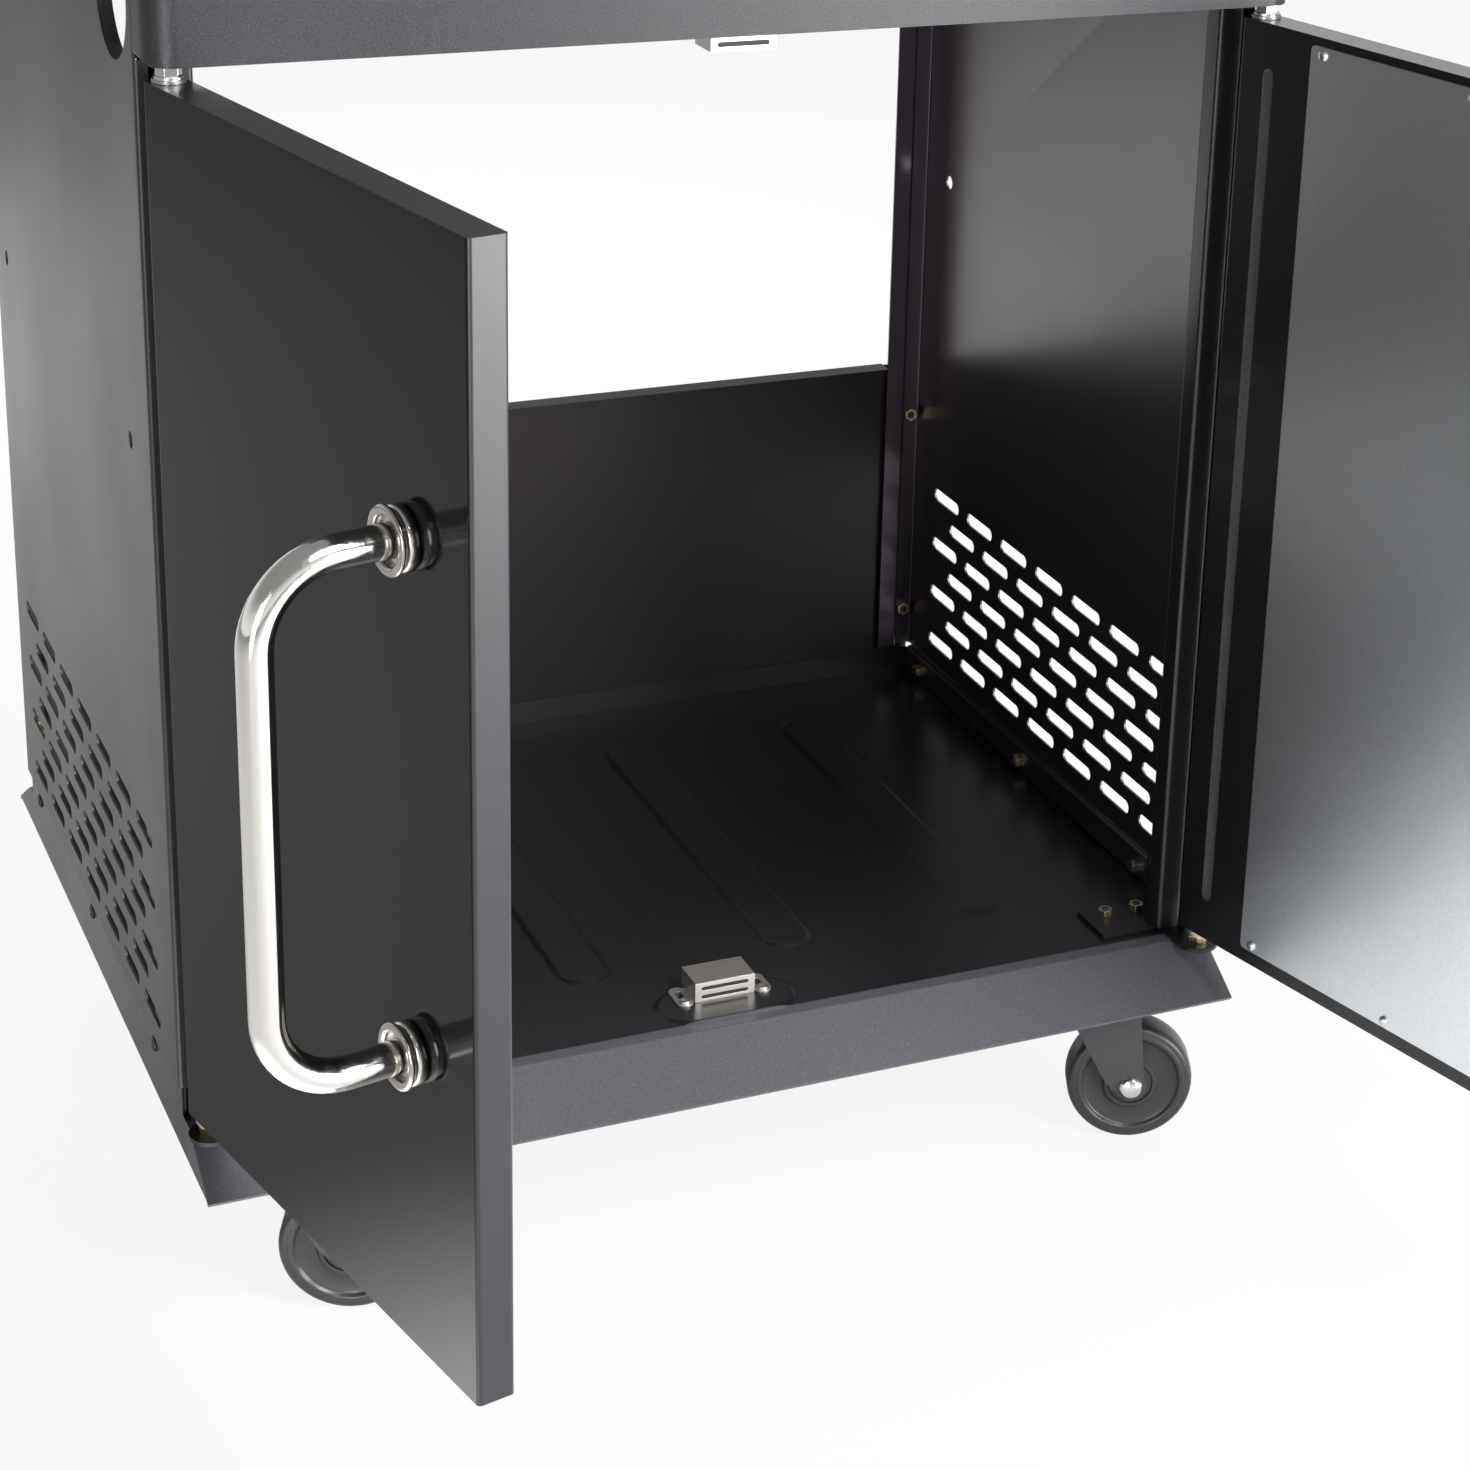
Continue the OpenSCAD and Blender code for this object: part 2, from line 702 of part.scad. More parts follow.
module catch_poles() {
    for (z = pole_z) translate([0, catch_y + 16, z + pole_t / 2]) rotate([90, 0, 0])
        linear_extrude(15.7) slot2d(28, pole_t);
    translate([-13, catch_y + 3, pole_z[0] + pole_t]) cube([26, 12, pole_z[1] - pole_z[0] - pole_t]);
}

module catch_places() {
    translate([catch_x, 0, catch_low]) children();
    translate([catch_x, 0, catch_high + catch_h]) mirror([0, 0, 1]) children();
}

module magnetic_catches() {
    color("#aeb0b2") catch_places() catch_case();
}

module catch_magnets() {
    color("#26262a") catch_places() catch_poles();
}

// Doors. Drawn closed about the hinge axis: X runs to the free edge, Y to the inside.
module door_place(right) {
    if (right)
        translate([px, py, 0]) rotate([0, 0, right_open]) mirror([1, 0, 0]) children();
    else
        translate([-px, py, 0]) rotate([0, 0, -left_open]) children();
}

module door_skin(w) {
    out = door_t / 2 - mid;
    lip = 20;
    r_out = bend_r + mid;
    difference() {
        union() {
            translate([0, 0, door_z + mid]) linear_extrude(door_h - sheet) fold([
                [stile_w - stile_in, out], [-stile_in + mid, out], [-stile_in + mid, -out],
                [w - mid, -out], [w - mid, out], [w - 14, out]
            ]);
            for (z = [door_z, door_top - sheet]) translate([(w - stile_in) / 2, 0, z])
                linear_extrude(sheet) round_rect(w + stile_in, door_t, r_out);
            // upper and lower return flanges
            for (z = [door_z, door_top - lip])
                translate([stile_w - stile_in - eps, out - mid, z]) cube([w - stile_w + stile_in - 14 + 2 * eps, sheet, lip]);
        }
        // bead pressed into the hinge stile
        translate([14.5, door_t / 2, (door_z + door_top) / 2]) rotate([90, 90, 0])
            translate([0, 0, -1]) linear_extrude(sheet + 2) slot2d(door_h - 46, 10);
        for (z = [door_z - 1, door_top - sheet - 1]) translate([0, 0, z]) cylinder(h = sheet + 2, d = bush_d);
        handle_holes(w, door_t / 2 - sheet - 4, 5);
        liner_screw_places(w) translate([0, 0, -5]) cylinder(h = 6, d = 3, $fn = 24);
    }
    translate([14.5, door_t / 2, (door_z + door_top) / 2]) rotate([90, 90, 0]) difference() {
        linear_extrude(3.2) slot2d(door_h - 46 + 2 * eps, 10 + 2 * eps);
        translate([0, 0, -eps]) linear_extrude(2) slot2d(door_h - 46 - 2 * sheet, 10 - 2 * sheet);
    }
}

module handle_holes(w, y, d) {
    x = w - (left_w - handle_at);
    for (s = [-1, 1]) translate([x, 0, handle_z + s * handle_span / 2]) rotate([90, 0, 0])
        translate([0, 0, y]) cylinder(h = 12, d = d, $fn = 24);
}

module liner_screw_places(w) {
    n = 3;
    x0 = stile_w - stile_in + 9;
    x1 = w - 18;
    for (i = [0:n - 1], z = [door_z + 13, door_top - 9])
        translate([x0 + (x1 - x0) * i / (n - 1), door_t / 2 + liner_t, z]) rotate([-90, 0, 0]) children();
}

module door_liner(w) {
    x0 = stile_w - stile_in;
    x1 = w - 8;
    z0 = door_z + 9;
    z1 = door_top - 4.6;
    difference() {
        translate([(x0 + x1) / 2, door_t / 2 + liner_t, (z0 + z1) / 2]) rotate([90, 0, 0])
            linear_extrude(liner_t) round_rect(x1 - x0, z1 - z0, 3);
        handle_holes(w, -door_t, 14);
        liner_screw_places(w) translate([0, 0, -3]) cylinder(h = 6, d = 3, $fn = 24);
    }
}

module door_bush(len, lip) {
    rotate_extrude() polygon([
        [pin_d / 2 + pin_play, 0], [8, 0], [8, lip], [bush_d / 2, lip], [bush_d / 2, len],
        [pin_d / 2 + pin_play, len]
    ]);
}

module door_bushes() {
    translate([0, 0, low_bush_z]) door_bush(30, door_z - low_bush_z);
    translate([0, 0, high_wash_z]) mirror([0, 0, 1]) door_bush(30, high_wash_z - door_top);
}

module door_screws(w) {
    liner_screw_places(w) pan_screw(6, 1.6, 3, 4);
    x = w - (left_w - handle_at);
    for (s = [-1, 1]) translate([x, -door_t / 2 + sheet, handle_z + s * handle_span / 2]) rotate([-90, 0, 0])
        pan_screw(11, 3.4, 5, 12);
}

module handle_path(d) {
    half = handle_span / 2;
    r = handle_r;
    leg = handle_out - r;
    for (s = [-1, 1]) translate([0, 0, s * half]) {
        rotate([90, 0, 0]) cylinder(h = leg, d = d);
        translate([0, -leg, -s * r]) rotate([0, 90, 0]) rotate([0, 0, s > 0 ? 180 : 270])
            rotate_extrude(angle = 90) translate([r, 0]) circle(d = d);
    }
    translate([0, -handle_out, -half + r]) cylinder(h = 2 * (half - r), d = d);
}

module handle(w) {
    x = w - (left_w - handle_at);
    translate([x, -door_t / 2, handle_z]) difference() {
        handle_path(handle_d);
        difference() {
            handle_path(handle_d - 3);
            for (s = [-1, 1]) translate([-20, -16, s * handle_span / 2 - 20]) cube([40, 40, 40]);
        }
        for (s = [-1, 1]) translate([0, eps, s * handle_span / 2]) rotate([90, 0, 0])
            cylinder(h = 17, d = 5, $fn = 24);
    }
}

module handle_ring(w, d, h0, h, round) {
    x = w - (left_w - handle_at);
    for (s = [-1, 1]) translate([x, -door_t / 2 - h0, handle_z + s * handle_span / 2]) rotate([90, 0, 0])
        rotate_extrude() union() {
            translate([handle_d / 2, 0]) square([d / 2 - round - handle_d / 2, h]);
            translate([handle_d / 2, 0]) square([d / 2 - handle_d / 2, h - round]);
            intersection() {
                translate([d / 2 - round, h - round]) circle(round, $fn = 24);
                translate([d / 2 - round, h - round]) square(round);
            }
        }
}

module door_left_skin() {
    color("#403d3a") door_place(false) door_skin(left_w);
}

module door_left_liner() {
    color("#a9aeb2") door_place(false) door_liner(left_w);
}

module door_left_bushes() {
    color("#8d8d90") door_place(false) door_bushes();
}

module door_left_screws() {
    color("#b4b6b8") door_place(false) door_screws(left_w);
}

module handle_left() {
    color("#c4c6c8") door_place(false) handle(left_w);
}

module handle_left_bases() {
    color("#8c8e91") door_place(false) handle_ring(left_w, 30, 0, 6, 1);
}

module handle_left_rings() {
    color("#c4c6c8") door_place(false) handle_ring(left_w, 32, 6, 4, 1.2);
}

module door_right_skin() {
    color("#1d1c1d") door_place(true) door_skin(right_w);
}

module door_right_liner() {
    color("#a9aeb2") door_place(true) door_liner(right_w);
}

module door_right_bushes() {
    color("#8d8d90") door_place(true) door_bushes();
}

module door_right_screws() {
    color("#b4b6b8") door_place(true) door_screws(right_w);
}

module handle_right() {
    color("#c4c6c8") door_place(true) handle(right_w);
}

module handle_right_bases() {
    color("#8c8e91") door_place(true) handle_ring(right_w, 30, 0, 6, 1);
}

module handle_right_rings() {
    color("#c4c6c8") door_place(true) handle_ring(right_w, 32, 6, 4, 1.2);
}

// Worktop: a sheet with a marine edge, turned down on four sides.
module worktop() {
    w = cab_w + 15;
    y0 = face_y - 8;
    y1 = hy + 10;
    d = y1 - y0;
    yc = (y0 + y1) / 2;
    wall = 1.5;
    color("#b9bbbd") translate([0, yc, 0]) difference() {
        union() {
            translate([0, 0, top_z - edge_h]) linear_extrude(edge_h) round_rect(w, d, 8);
            translate([0, 0, top_z - eps]) linear_extrude(2.5) difference() {
                round_rect(w, d, 8);
                round_rect(w - 18, d - 18, 6);
            }
        }
        translate([0, 0, top_z - edge_h - 1]) linear_extrude(edge_h + 1 - wall)
            round_rect(w - 2 * wall, d - 2 * wall, 8 - wall);
        translate([0, bowl_y - yc, top_z - 5]) linear_extrude(10) round_rect(bowl_w, bowl_d, bowl_r);
        translate([0, tap_y - yc, top_z - 5]) cylinder(h = 10, d = 24);
    }
}

// Sink bowl: straight walls, round corners and a swept fillet down to a flat bottom.
module bowl_section(reach) {
    f = bowl_fillet;
    t = steel;
    translate([reach, f]) square([t, bowl_h - f]);
    intersection() {
        translate([reach - f, f]) difference() {
            circle(f + t);
            circle(f);
        }
        translate([reach - f, -t]) square([f + t, f + t]);
    }
    translate([0, -t]) square([reach - f + eps, t]);
    translate([reach, bowl_h - t]) square([15, t]);
}

module sink_bowl() {
    sx = bowl_w / 2 - bowl_r;
    sy = bowl_d / 2 - bowl_r;
    color("#b4b6b9") translate([0, bowl_y, bowl_z]) difference() {
        union() {
            for (q = [[1, 1, 0], [-1, 1, 90], [-1, -1, 180], [1, -1, 270]])
                translate([q[0] * sx, q[1] * sy, 0]) rotate([0, 0, q[2]])
                    rotate_extrude(angle = 90) bowl_section(bowl_r);
            for (s = [0, 180]) rotate([0, 0, s]) {
                translate([sx, 0, 0]) rotate([90, 0, 0]) translate([0, 0, -sy]) linear_extrude(2 * sy)
                    bowl_section(bowl_r);
                translate([0, sy, 0]) rotate([90, 0, 90]) translate([0, 0, -sx]) linear_extrude(2 * sx)
                    bowl_section(bowl_r);
            }
            translate([-sx - eps, -sy - eps, -steel]) cube([2 * (sx + eps), 2 * (sy + eps), steel]);
        }
        translate([0, 0, -5]) cylinder(h = 10, d = 60);
    }
}

module strainer_body() {
    color("#a8aaad") translate([0, bowl_y, bowl_z]) rotate_extrude() polygon([
        [20, -44], [22, -44], [22, -22], [30, -14], [30, 0], [41, 0], [41, 1.2], [27, 1.2],
        [27, -12], [20, -19]
    ]);
}

module strainer_grid() {
    color("#8f9194") translate([0, bowl_y, bowl_z - 3]) difference() {
        cylinder(h = 1.5, r = 27);
        for (ring = [[0, 1], [8, 6], [15, 10], [22, 14]], i = [0:ring[1] - 1])
            rotate([0, 0, 360 * i / ring[1]]) translate([ring[0], 0, -1]) cylinder(h = 4, d = 4.4, $fn = 16);
    }
}

module strainer_nut() {
    color("#3b3b3e") translate([0, bowl_y, bowl_z - steel - 9]) difference() {
        union() {
            cylinder(h = 9, d = 76);
            for (i = [0:7]) rotate([0, 0, i * 45]) translate([34, -4, 0]) cube([9, 8, 9]);
        }
        translate([0, 0, -1]) cylinder(h = 12, r = 30);
    }
}

module tailpiece() {
    color("#3b3b3e") translate([0, bowl_y, bowl_z - 44]) {
        translate([0, 0, -42]) linear_extrude(42) difference() {
            circle(20);
            circle(17.5);
        }
        translate([0, 0, -6]) linear_extrude(20) difference() {
            circle(d = 56, $fn = 8);
            circle(22);
        }
        translate([0, 0, -6]) linear_extrude(6) difference() {
            circle(23);
            circle(20 - eps);
        }
    }
}

// Tap with a swivel spout and a side lever.
tap_base_h = 5;
tap_body_h = 62;
collar_z = top_z + tap_base_h + tap_body_h;
lever_z = top_z + tap_base_h + 34;

module tap_body() {
    color("#c9cbcd") translate([0, tap_y, 0]) {
        difference() {
            union() {
                translate([0, 0, under_top - 34]) cylinder(h = 40, d = 22);
                translate([0, 0, top_z]) cylinder(h = tap_base_h, d = 50);
                translate([0, 0, top_z + tap_base_h - eps]) cylinder(h = tap_body_h + eps, d = 34);
                translate([0, 0, lever_z]) rotate([0, 90, 0]) cylinder(h = 31, d = 26);
            }
            // socket of the spout
            translate([0, 0, collar_z - 16]) cylinder(h = 20, d = spout_d + 2 * tap_play);
            // bore for the supply
            translate([0, 0, under_top - 35]) cylinder(h = 44, d = 12);
            // seat of the lever
            translate([22, 0, lever_z]) rotate([0, 90, 0]) cylinder(h = 12, d = 16 + 2 * tap_play);
        }
    }
}

module tap_shank_nut() {
    color("#b89a58") translate([0, tap_y, under_top - 12]) {
        linear_extrude(10) difference() {
            circle(d = 34, $fn = 6);
            circle(d = 22);
        }
        translate([0, 0, 10]) linear_extrude(2) difference() {
            circle(d = 44);
            circle(d = 22);
        }
    }
}

module tap_spout() {
    r = spout_reach / 2;
    low = collar_z - 16;
    color("#c9cbcd") translate([0, tap_y, 0]) {
        difference() {
            union() {
                translate([0, 0, low]) cylinder(h = 16 + spout_rise, d = spout_d);
                translate([0, 0, collar_z + 0.3]) cylinder(h = 7, d = 30);
                translate([0, -r, collar_z + spout_rise]) rotate([90, 0, 90]) rotate_extrude(angle = 180)
                    translate([r, 0]) circle(d = spout_d);
                translate([0, -2 * r, collar_z + spout_rise - 26]) cylinder(h = 26, d = spout_d);
                translate([0, -2 * r, collar_z + spout_rise - 36]) cylinder(h = 14, d = spout_d + 4);
            }
            translate([0, 0, low - 1]) cylinder(h = 17 + spout_rise, d = spout_d - 4);
            translate([0, -r, collar_z + spout_rise]) rotate([90, 0, 90]) rotate_extrude(angle = 180)
                translate([r, 0]) circle(d = spout_d - 4);
            translate([0, -2 * r, collar_z + spout_rise - 37]) cylinder(h = 37, d = spout_d - 4);
        }
    }
}

module tap_lever() {
    color("#c9cbcd") translate([0, tap_y, lever_z]) {
        translate([24, 0, 0]) rotate([0, 90, 0]) cylinder(h = 8, d = 16);
        translate([31.3, 0, 0]) rotate([0, 90, 0]) cylinder(h = 9, d = 26);
        translate([36, -58, 0]) rotate([-90, 0, 0]) cylinder(h = 58, d = 8);
        translate([36, -58, 0]) sphere(d = 8);
    }
}

// Casters. One caster is drawn at its swivel axis with the wheel trailing along +X.
module caster_places() {
    for (sx = [-1, 1], sy = [-1, 1]) translate([sx * swx, sy * swy, 0]) children();
}

module at_caster(sx, sy) {
    translate([sx * swx, sy * swy, 0]) rotate([0, 0, caster_turn]) children();
}

module caster_plates() {
    low = caster_top - plate_t;
    color("#3f3f42") caster_places() difference() {
        union() {
            translate([0, 0, low]) linear_extrude(plate_t) round_rect(plate_w, plate_w, 6);
            rotate_extrude() polygon([
                [5, fork_top + 0.3], [race_d / 2, fork_top + 0.3], [race_d / 2, fork_top + 3],
                [race_d / 2 + 1.6, low], [race_d / 2 + 1.6, low + 1], [5, low + 1]
            ]);
        }
        for (bx = [-1, 1], by = [-1, 1])
            translate([bx * plate_bolt, by * plate_bolt, low - 1]) cylinder(h = 6, d = 6, $fn = 24);
        translate([0, 0, fork_top - 1]) cylinder(h = 20, d = 10);
    }
}

module caster_kingpins() {
    color("#9a9b9e") caster_places() rotate_extrude() polygon([
        [0, fork_top - 8], [7, fork_top - 8], [8, fork_top - 7], [8, fork_top - fork_t - 0.3],
        [5, fork_top - fork_t - 0.3],
        [5, caster_top], [6.5, caster_top], [6.5, caster_top + 1.6], [0, caster_top + 1.6]
    ]);
}

module fork(sx, sy) {
    m = fork_in + fork_t / 2;
    top = fork_top - fork_t / 2;
    color("#47474b") at_caster(sx, sy) difference() {
        union() {
            translate([0, 0, fork_top - fork_t]) cylinder(h = fork_t, d = race_d + 1);
            intersection() {
                along_x(-40, 60)
                    fold([[-m, 0], [-m, top], [m, top], [m, 0]], fork_t, 4);
                along_y(-50, 50) union() {
                    polygon([
                        [-17, fork_top + 1], [-17, fork_top - 9], [trail - 15, axle_z + 2],
                        [trail - 6.5, axle_z - 6], [trail + 8.5, axle_z - 2], [24, fork_top - 9],
                        [24, fork_top + 1]
                    ]);
                    translate([trail, axle_z]) circle(9);
                }
            }
        }
        translate([0, 0, fork_top - 10]) cylinder(h = 20, d = 10 + 2 * swivel_play);
        translate([trail, 0, axle_z]) rotate([90, 0, 0]) translate([0, 0, -40]) cylinder(h = 80, d = 8);
    }
}

module axle(sx, sy) {
    half = fork_in + fork_t;
    color("#d2d3d5") at_caster(sx, sy) translate([trail, 0, axle_z]) rotate([90, 0, 0]) {
        translate([0, 0, -half - 6]) cylinder(h = 2 * half + 6.5, d = 8);
        rotate_extrude() polygon([
            [0, half], [6.8, half], [6.8, half + 1.6], [5.6, half + 3.2], [3, half + 4.4], [0, half + 4.8]
        ]);
        translate([0, 0, -half - 6]) cylinder(h = 6, d = 13 / cos(30), $fn = 6);
    }
}

module wheel(sx, sy) {
    r = wheel_d / 2;
    h = wheel_w / 2;
    b = 4 + wheel_play;
    color("#38383b") at_caster(sx, sy) translate([trail, 0, axle_z]) rotate([90, 0, 0]) rotate_extrude($fn = 96)
        polygon([
            [b, -h - 0.9], [9.5, -h - 0.9], [11, -h + 1], [13, -h + 3.6], [24, -h + 3.2], [26.2, -h + 0.4],
            [28, -h], [r - 3, -h], [r - 0.9, -h + 1.2], [r, -h + 4], [r, h - 4], [r - 0.9, h - 1.2],
            [r - 3, h], [28, h], [26.2, h - 0.4], [24, h - 3.2], [13, h - 3.6], [11, h - 1],
            [9.5, h + 0.9], [b, h + 0.9]
        ]);
}

module fork_fl() {
    fork(-1, -1);
}

module fork_fr() {
    fork(1, -1);
}

module fork_rl() {
    fork(-1, 1);
}

module fork_rr() {
    fork(1, 1);
}

module axle_fl() {
    axle(-1, -1);
}

module axle_fr() {
    axle(1, -1);
}

module axle_rl() {
    axle(-1, 1);
}

module axle_rr() {
    axle(1, 1);
}

module wheel_fl() {
    wheel(-1, -1);
}

module wheel_fr() {
    wheel(1, -1);
}

module wheel_rl() {
    wheel(-1, 1);
}

module wheel_rr() {
    wheel(1, 1);
}

base_tray();
caster_channels();
side_panel_left();
side_panel_right();
rear_panel();
rear_top_rail();
front_post_left();
front_post_right();
fascia();
hinge_brackets_lower();
hinge_brackets_upper();
hinge_pins();
hinge_washers();
frame_nuts();
frame_screws();
catch_bracket();
magnetic_catches();
catch_magnets();
door_left_skin();
door_left_liner();
door_left_bushes();
door_left_screws();
handle_left();
handle_left_bases();
handle_left_rings();
door_right_skin();
door_right_liner();
door_right_bushes();
door_right_screws();
handle_right();
handle_right_bases();
handle_right_rings();
worktop();
sink_bowl();
strainer_body();
strainer_grid();
strainer_nut();
tailpiece();
tap_body();
tap_shank_nut();
tap_spout();
tap_lever();
caster_plates();
caster_kingpins();
fork_fl();
fork_fr();
fork_rl();
fork_rr();
axle_fl();
axle_fr();
axle_rl();
axle_rr();
wheel_fl();
wheel_fr();
wheel_rl();
wheel_rr();
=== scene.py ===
# %% [markdown]
# # Dressing an outdoor sink cabinet
#
# The cabinet's solids come from the CAD part as a fixed frame. This lesson
# gives each of them a finish that looks like the real material, swaps a few
# plain solids for richer pieces, and sets up the camera and the light.
# Lengths are in metres, the front of the cabinet faces -Y and Z is up.

# %% Load the frame
import json
import math

import bmesh
import bpy
from mathutils import Matrix, Vector


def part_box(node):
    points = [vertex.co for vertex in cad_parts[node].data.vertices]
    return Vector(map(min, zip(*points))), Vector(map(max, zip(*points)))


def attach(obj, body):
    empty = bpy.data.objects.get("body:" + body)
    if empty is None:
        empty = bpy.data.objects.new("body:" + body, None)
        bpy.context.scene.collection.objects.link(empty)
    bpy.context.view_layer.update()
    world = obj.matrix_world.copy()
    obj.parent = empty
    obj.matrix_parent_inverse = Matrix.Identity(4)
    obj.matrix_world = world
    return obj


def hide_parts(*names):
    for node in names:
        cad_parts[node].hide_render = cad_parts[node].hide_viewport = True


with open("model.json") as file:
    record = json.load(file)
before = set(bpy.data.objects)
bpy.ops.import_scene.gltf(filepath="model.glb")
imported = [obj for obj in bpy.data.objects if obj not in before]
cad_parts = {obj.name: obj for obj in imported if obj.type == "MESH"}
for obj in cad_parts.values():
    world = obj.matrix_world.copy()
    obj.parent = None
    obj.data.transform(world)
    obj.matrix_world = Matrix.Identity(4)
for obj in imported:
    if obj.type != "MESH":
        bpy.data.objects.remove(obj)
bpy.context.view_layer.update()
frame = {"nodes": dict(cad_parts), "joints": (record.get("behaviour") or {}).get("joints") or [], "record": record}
nodes = frame["nodes"]
joints = {joint["name"]: joint for joint in frame["joints"]}

# %% [markdown]
# ## The camera
#
# The photograph is a crop of a wider picture, so its vanishing centre lies to
# the upper right of the frame. A lens shift does the same in Blender. The
# first three numbers are the heading, the tilt and the roll that line up the
# straight edges of the cabinet with the picture. The focal length and the
# vanishing centre are in pixels of the 1470 pixel picture.

# %% Camera
azimuth, elevation, roll = math.radians(-26.560), math.radians(19.900), math.radians(2.680)
camera_place = Vector((-0.6112, -1.7223, 1.0379))

back = Vector((
    math.sin(azimuth) * math.cos(elevation),
    -math.cos(azimuth) * math.cos(elevation),
    math.sin(elevation),
))
level_right = (-back).cross(Vector((0, 0, 1))).normalized()
level_up = level_right.cross(-back)
right = math.cos(roll) * level_right + math.sin(roll) * level_up
up = -math.sin(roll) * level_right + math.cos(roll) * level_up

picture_px = 1470
focal_px = 3273.4
centre_px = (980, 480)
lens = bpy.data.cameras.new("photo_camera")
lens.sensor_fit = "HORIZONTAL"
lens.sensor_width = 36
lens.lens = lens.sensor_width * focal_px / picture_px
lens.shift_x = (picture_px / 2 - centre_px[0]) / picture_px
lens.shift_y = (centre_px[1] - picture_px / 2) / picture_px
lens.clip_end = 50
camera = bpy.data.objects.new("photo_camera", lens)
camera.matrix_world = Matrix.Translation(camera_place) @ Matrix((right, up, back)).transposed().to_4x4()
bpy.context.scene.collection.objects.link(camera)
bpy.context.scene.camera = camera
print("lens", round(lens.lens, 2), "shift", round(lens.shift_x, 4), round(lens.shift_y, 4))

# %% [markdown]
# ## Light like a product studio
#
# The picture has a white surround and soft, broad light. The world lights the
# cabinet at a moderate level, while the camera, and shiny surfaces such as
# the handles, see it as white, darker only towards the ceiling. Large lamps
# in front to the right add direction: a low one, which the fascia and the
# free edge of the left door mirror, so both fade away from it as in the
# picture, and a high one, which lights the floor in front. A third hangs over
# the floor behind, which the side panels mirror.

# %% World
scene = bpy.context.scene
scene.view_settings.view_transform = "Standard"
world = bpy.data.worlds.new("studio_world")
scene.world = world
world.use_nodes = True
wt = world.node_tree
wt.nodes.clear()
world_out = wt.nodes.new("ShaderNodeOutputWorld")
seen = wt.nodes.new("ShaderNodeBackground")
seen.inputs["Color"].default_value = (0.985, 0.985, 0.985, 1)
seen.inputs["Strength"].default_value = 1.0
mirrored = wt.nodes.new("ShaderNodeBackground")
direction = wt.nodes.new("ShaderNodeTexCoord")
height = wt.nodes.new("ShaderNodeSeparateXYZ")
wt.links.new(direction.outputs["Generated"], height.inputs[0])
ceiling = wt.nodes.new("ShaderNodeMapRange")
ceiling.interpolation_type = "SMOOTHSTEP"
for key, value in {"From Min": 0.05, "From Max": 0.55, "To Min": 0.98, "To Max": 0.32}.items():
    ceiling.inputs[key].default_value = value
wt.links.new(height.outputs["Z"], ceiling.inputs["Value"])
wt.links.new(ceiling.outputs["Result"], mirrored.inputs["Color"])
lit = wt.nodes.new("ShaderNodeBackground")
lit.inputs["Color"].default_value = (1.0, 0.99, 0.98, 1)
lit.inputs["Strength"].default_value = 0.26


def looking_rays(tree):
    """The rays that show the background straight to the camera, and those that surfaces mirror."""
    rays = tree.nodes.new("ShaderNodeLightPath")
    direct = tree.nodes.new("ShaderNodeMath")
    direct.operation = "MAXIMUM"
    tree.links.new(rays.outputs["Is Camera Ray"], direct.inputs[0])
    tree.links.new(rays.outputs["Is Transmission Ray"], direct.inputs[1])
    return direct.outputs[0], rays.outputs["Is Glossy Ray"]


looking, glossy = looking_rays(wt)
for_mirrors = wt.nodes.new("ShaderNodeMixShader")
wt.links.new(glossy, for_mirrors.inputs["Fac"])
wt.links.new(lit.outputs[0], for_mirrors.inputs[1])
wt.links.new(mirrored.outputs[0], for_mirrors.inputs[2])
pick = wt.nodes.new("ShaderNodeMixShader")
wt.links.new(looking, pick.inputs["Fac"])
wt.links.new(for_mirrors.outputs[0], pick.inputs[1])
wt.links.new(seen.outputs[0], pick.inputs[2])
wt.links.new(pick.outputs[0], world_out.inputs["Surface"])


def soft_lamp(name, place, aim, width, height, power):
    data = bpy.data.lights.new(name, "AREA")
    data.shape = "RECTANGLE"
    data.size, data.size_y = width, height
    data.energy = power
    lamp = bpy.data.objects.new(name, data)
    lamp.location = place
    lamp.rotation_euler = (Vector(aim) - Vector(place)).to_track_quat("-Z", "Y").to_euler()
    lamp.visible_camera = False
    scene.collection.objects.link(lamp)
    return lamp


soft_lamp("low_front", (1.2, -1.9, 0.5), aim=(0, -0.2, 0.5), width=0.9, height=0.94, power=38)
soft_lamp("high_front", (1.1, -2.4, 2.6), aim=(0, -0.4, 0.2), width=1.4, height=1.4, power=115)
rear = soft_lamp("rear", (0.0, 1.75, 1.05), aim=(0, 0.85, 0.0), width=1.8, height=0.9, power=24)
rear.visible_glossy = False

# %% [markdown]
# One more panel lights nothing directly. It stands in front to the left, where
# the polished handle and the bends of the right door mirror it.

# %% Panel that only mirrors see
panel = soft_lamp("left_mirror_panel", (-1.35, -1.95, 0.62), aim=(0.3, -0.25, 0.4),
                  width=0.5, height=1.2, power=20)
panel.visible_diffuse = False
print(panel.name, "is seen in reflections only")

# %% [markdown]
# ## Shader groups
#
# A surface effect that several finishes share is built once as a node group.
# Powder coat is sprayed paint that is baked: it has a fine orange-peel grain
# and a slightly cloudy gloss. Rolled stainless steel has long fine scratches
# along one direction. Zinc-coated sheet shows pale crystal patches.

# %% Group helpers
def new_group(name, inputs, outputs):
    group = bpy.data.node_groups.new(name, "ShaderNodeTree")
    for title, kind, value in inputs:
        socket = group.interface.new_socket(title, in_out="INPUT", socket_type=kind)
        socket.default_value = value
    for title, kind in outputs:
        group.interface.new_socket(title, in_out="OUTPUT", socket_type=kind)
    return group, group.nodes.new("NodeGroupInput"), group.nodes.new("NodeGroupOutput")


def add(tree, kind, values=(), **settings):
    node = tree.nodes.new(kind)
    for key, value in settings.items():
        setattr(node, key, value)
    for key, value in dict(values).items():
        node.inputs[key].default_value = value
    return node


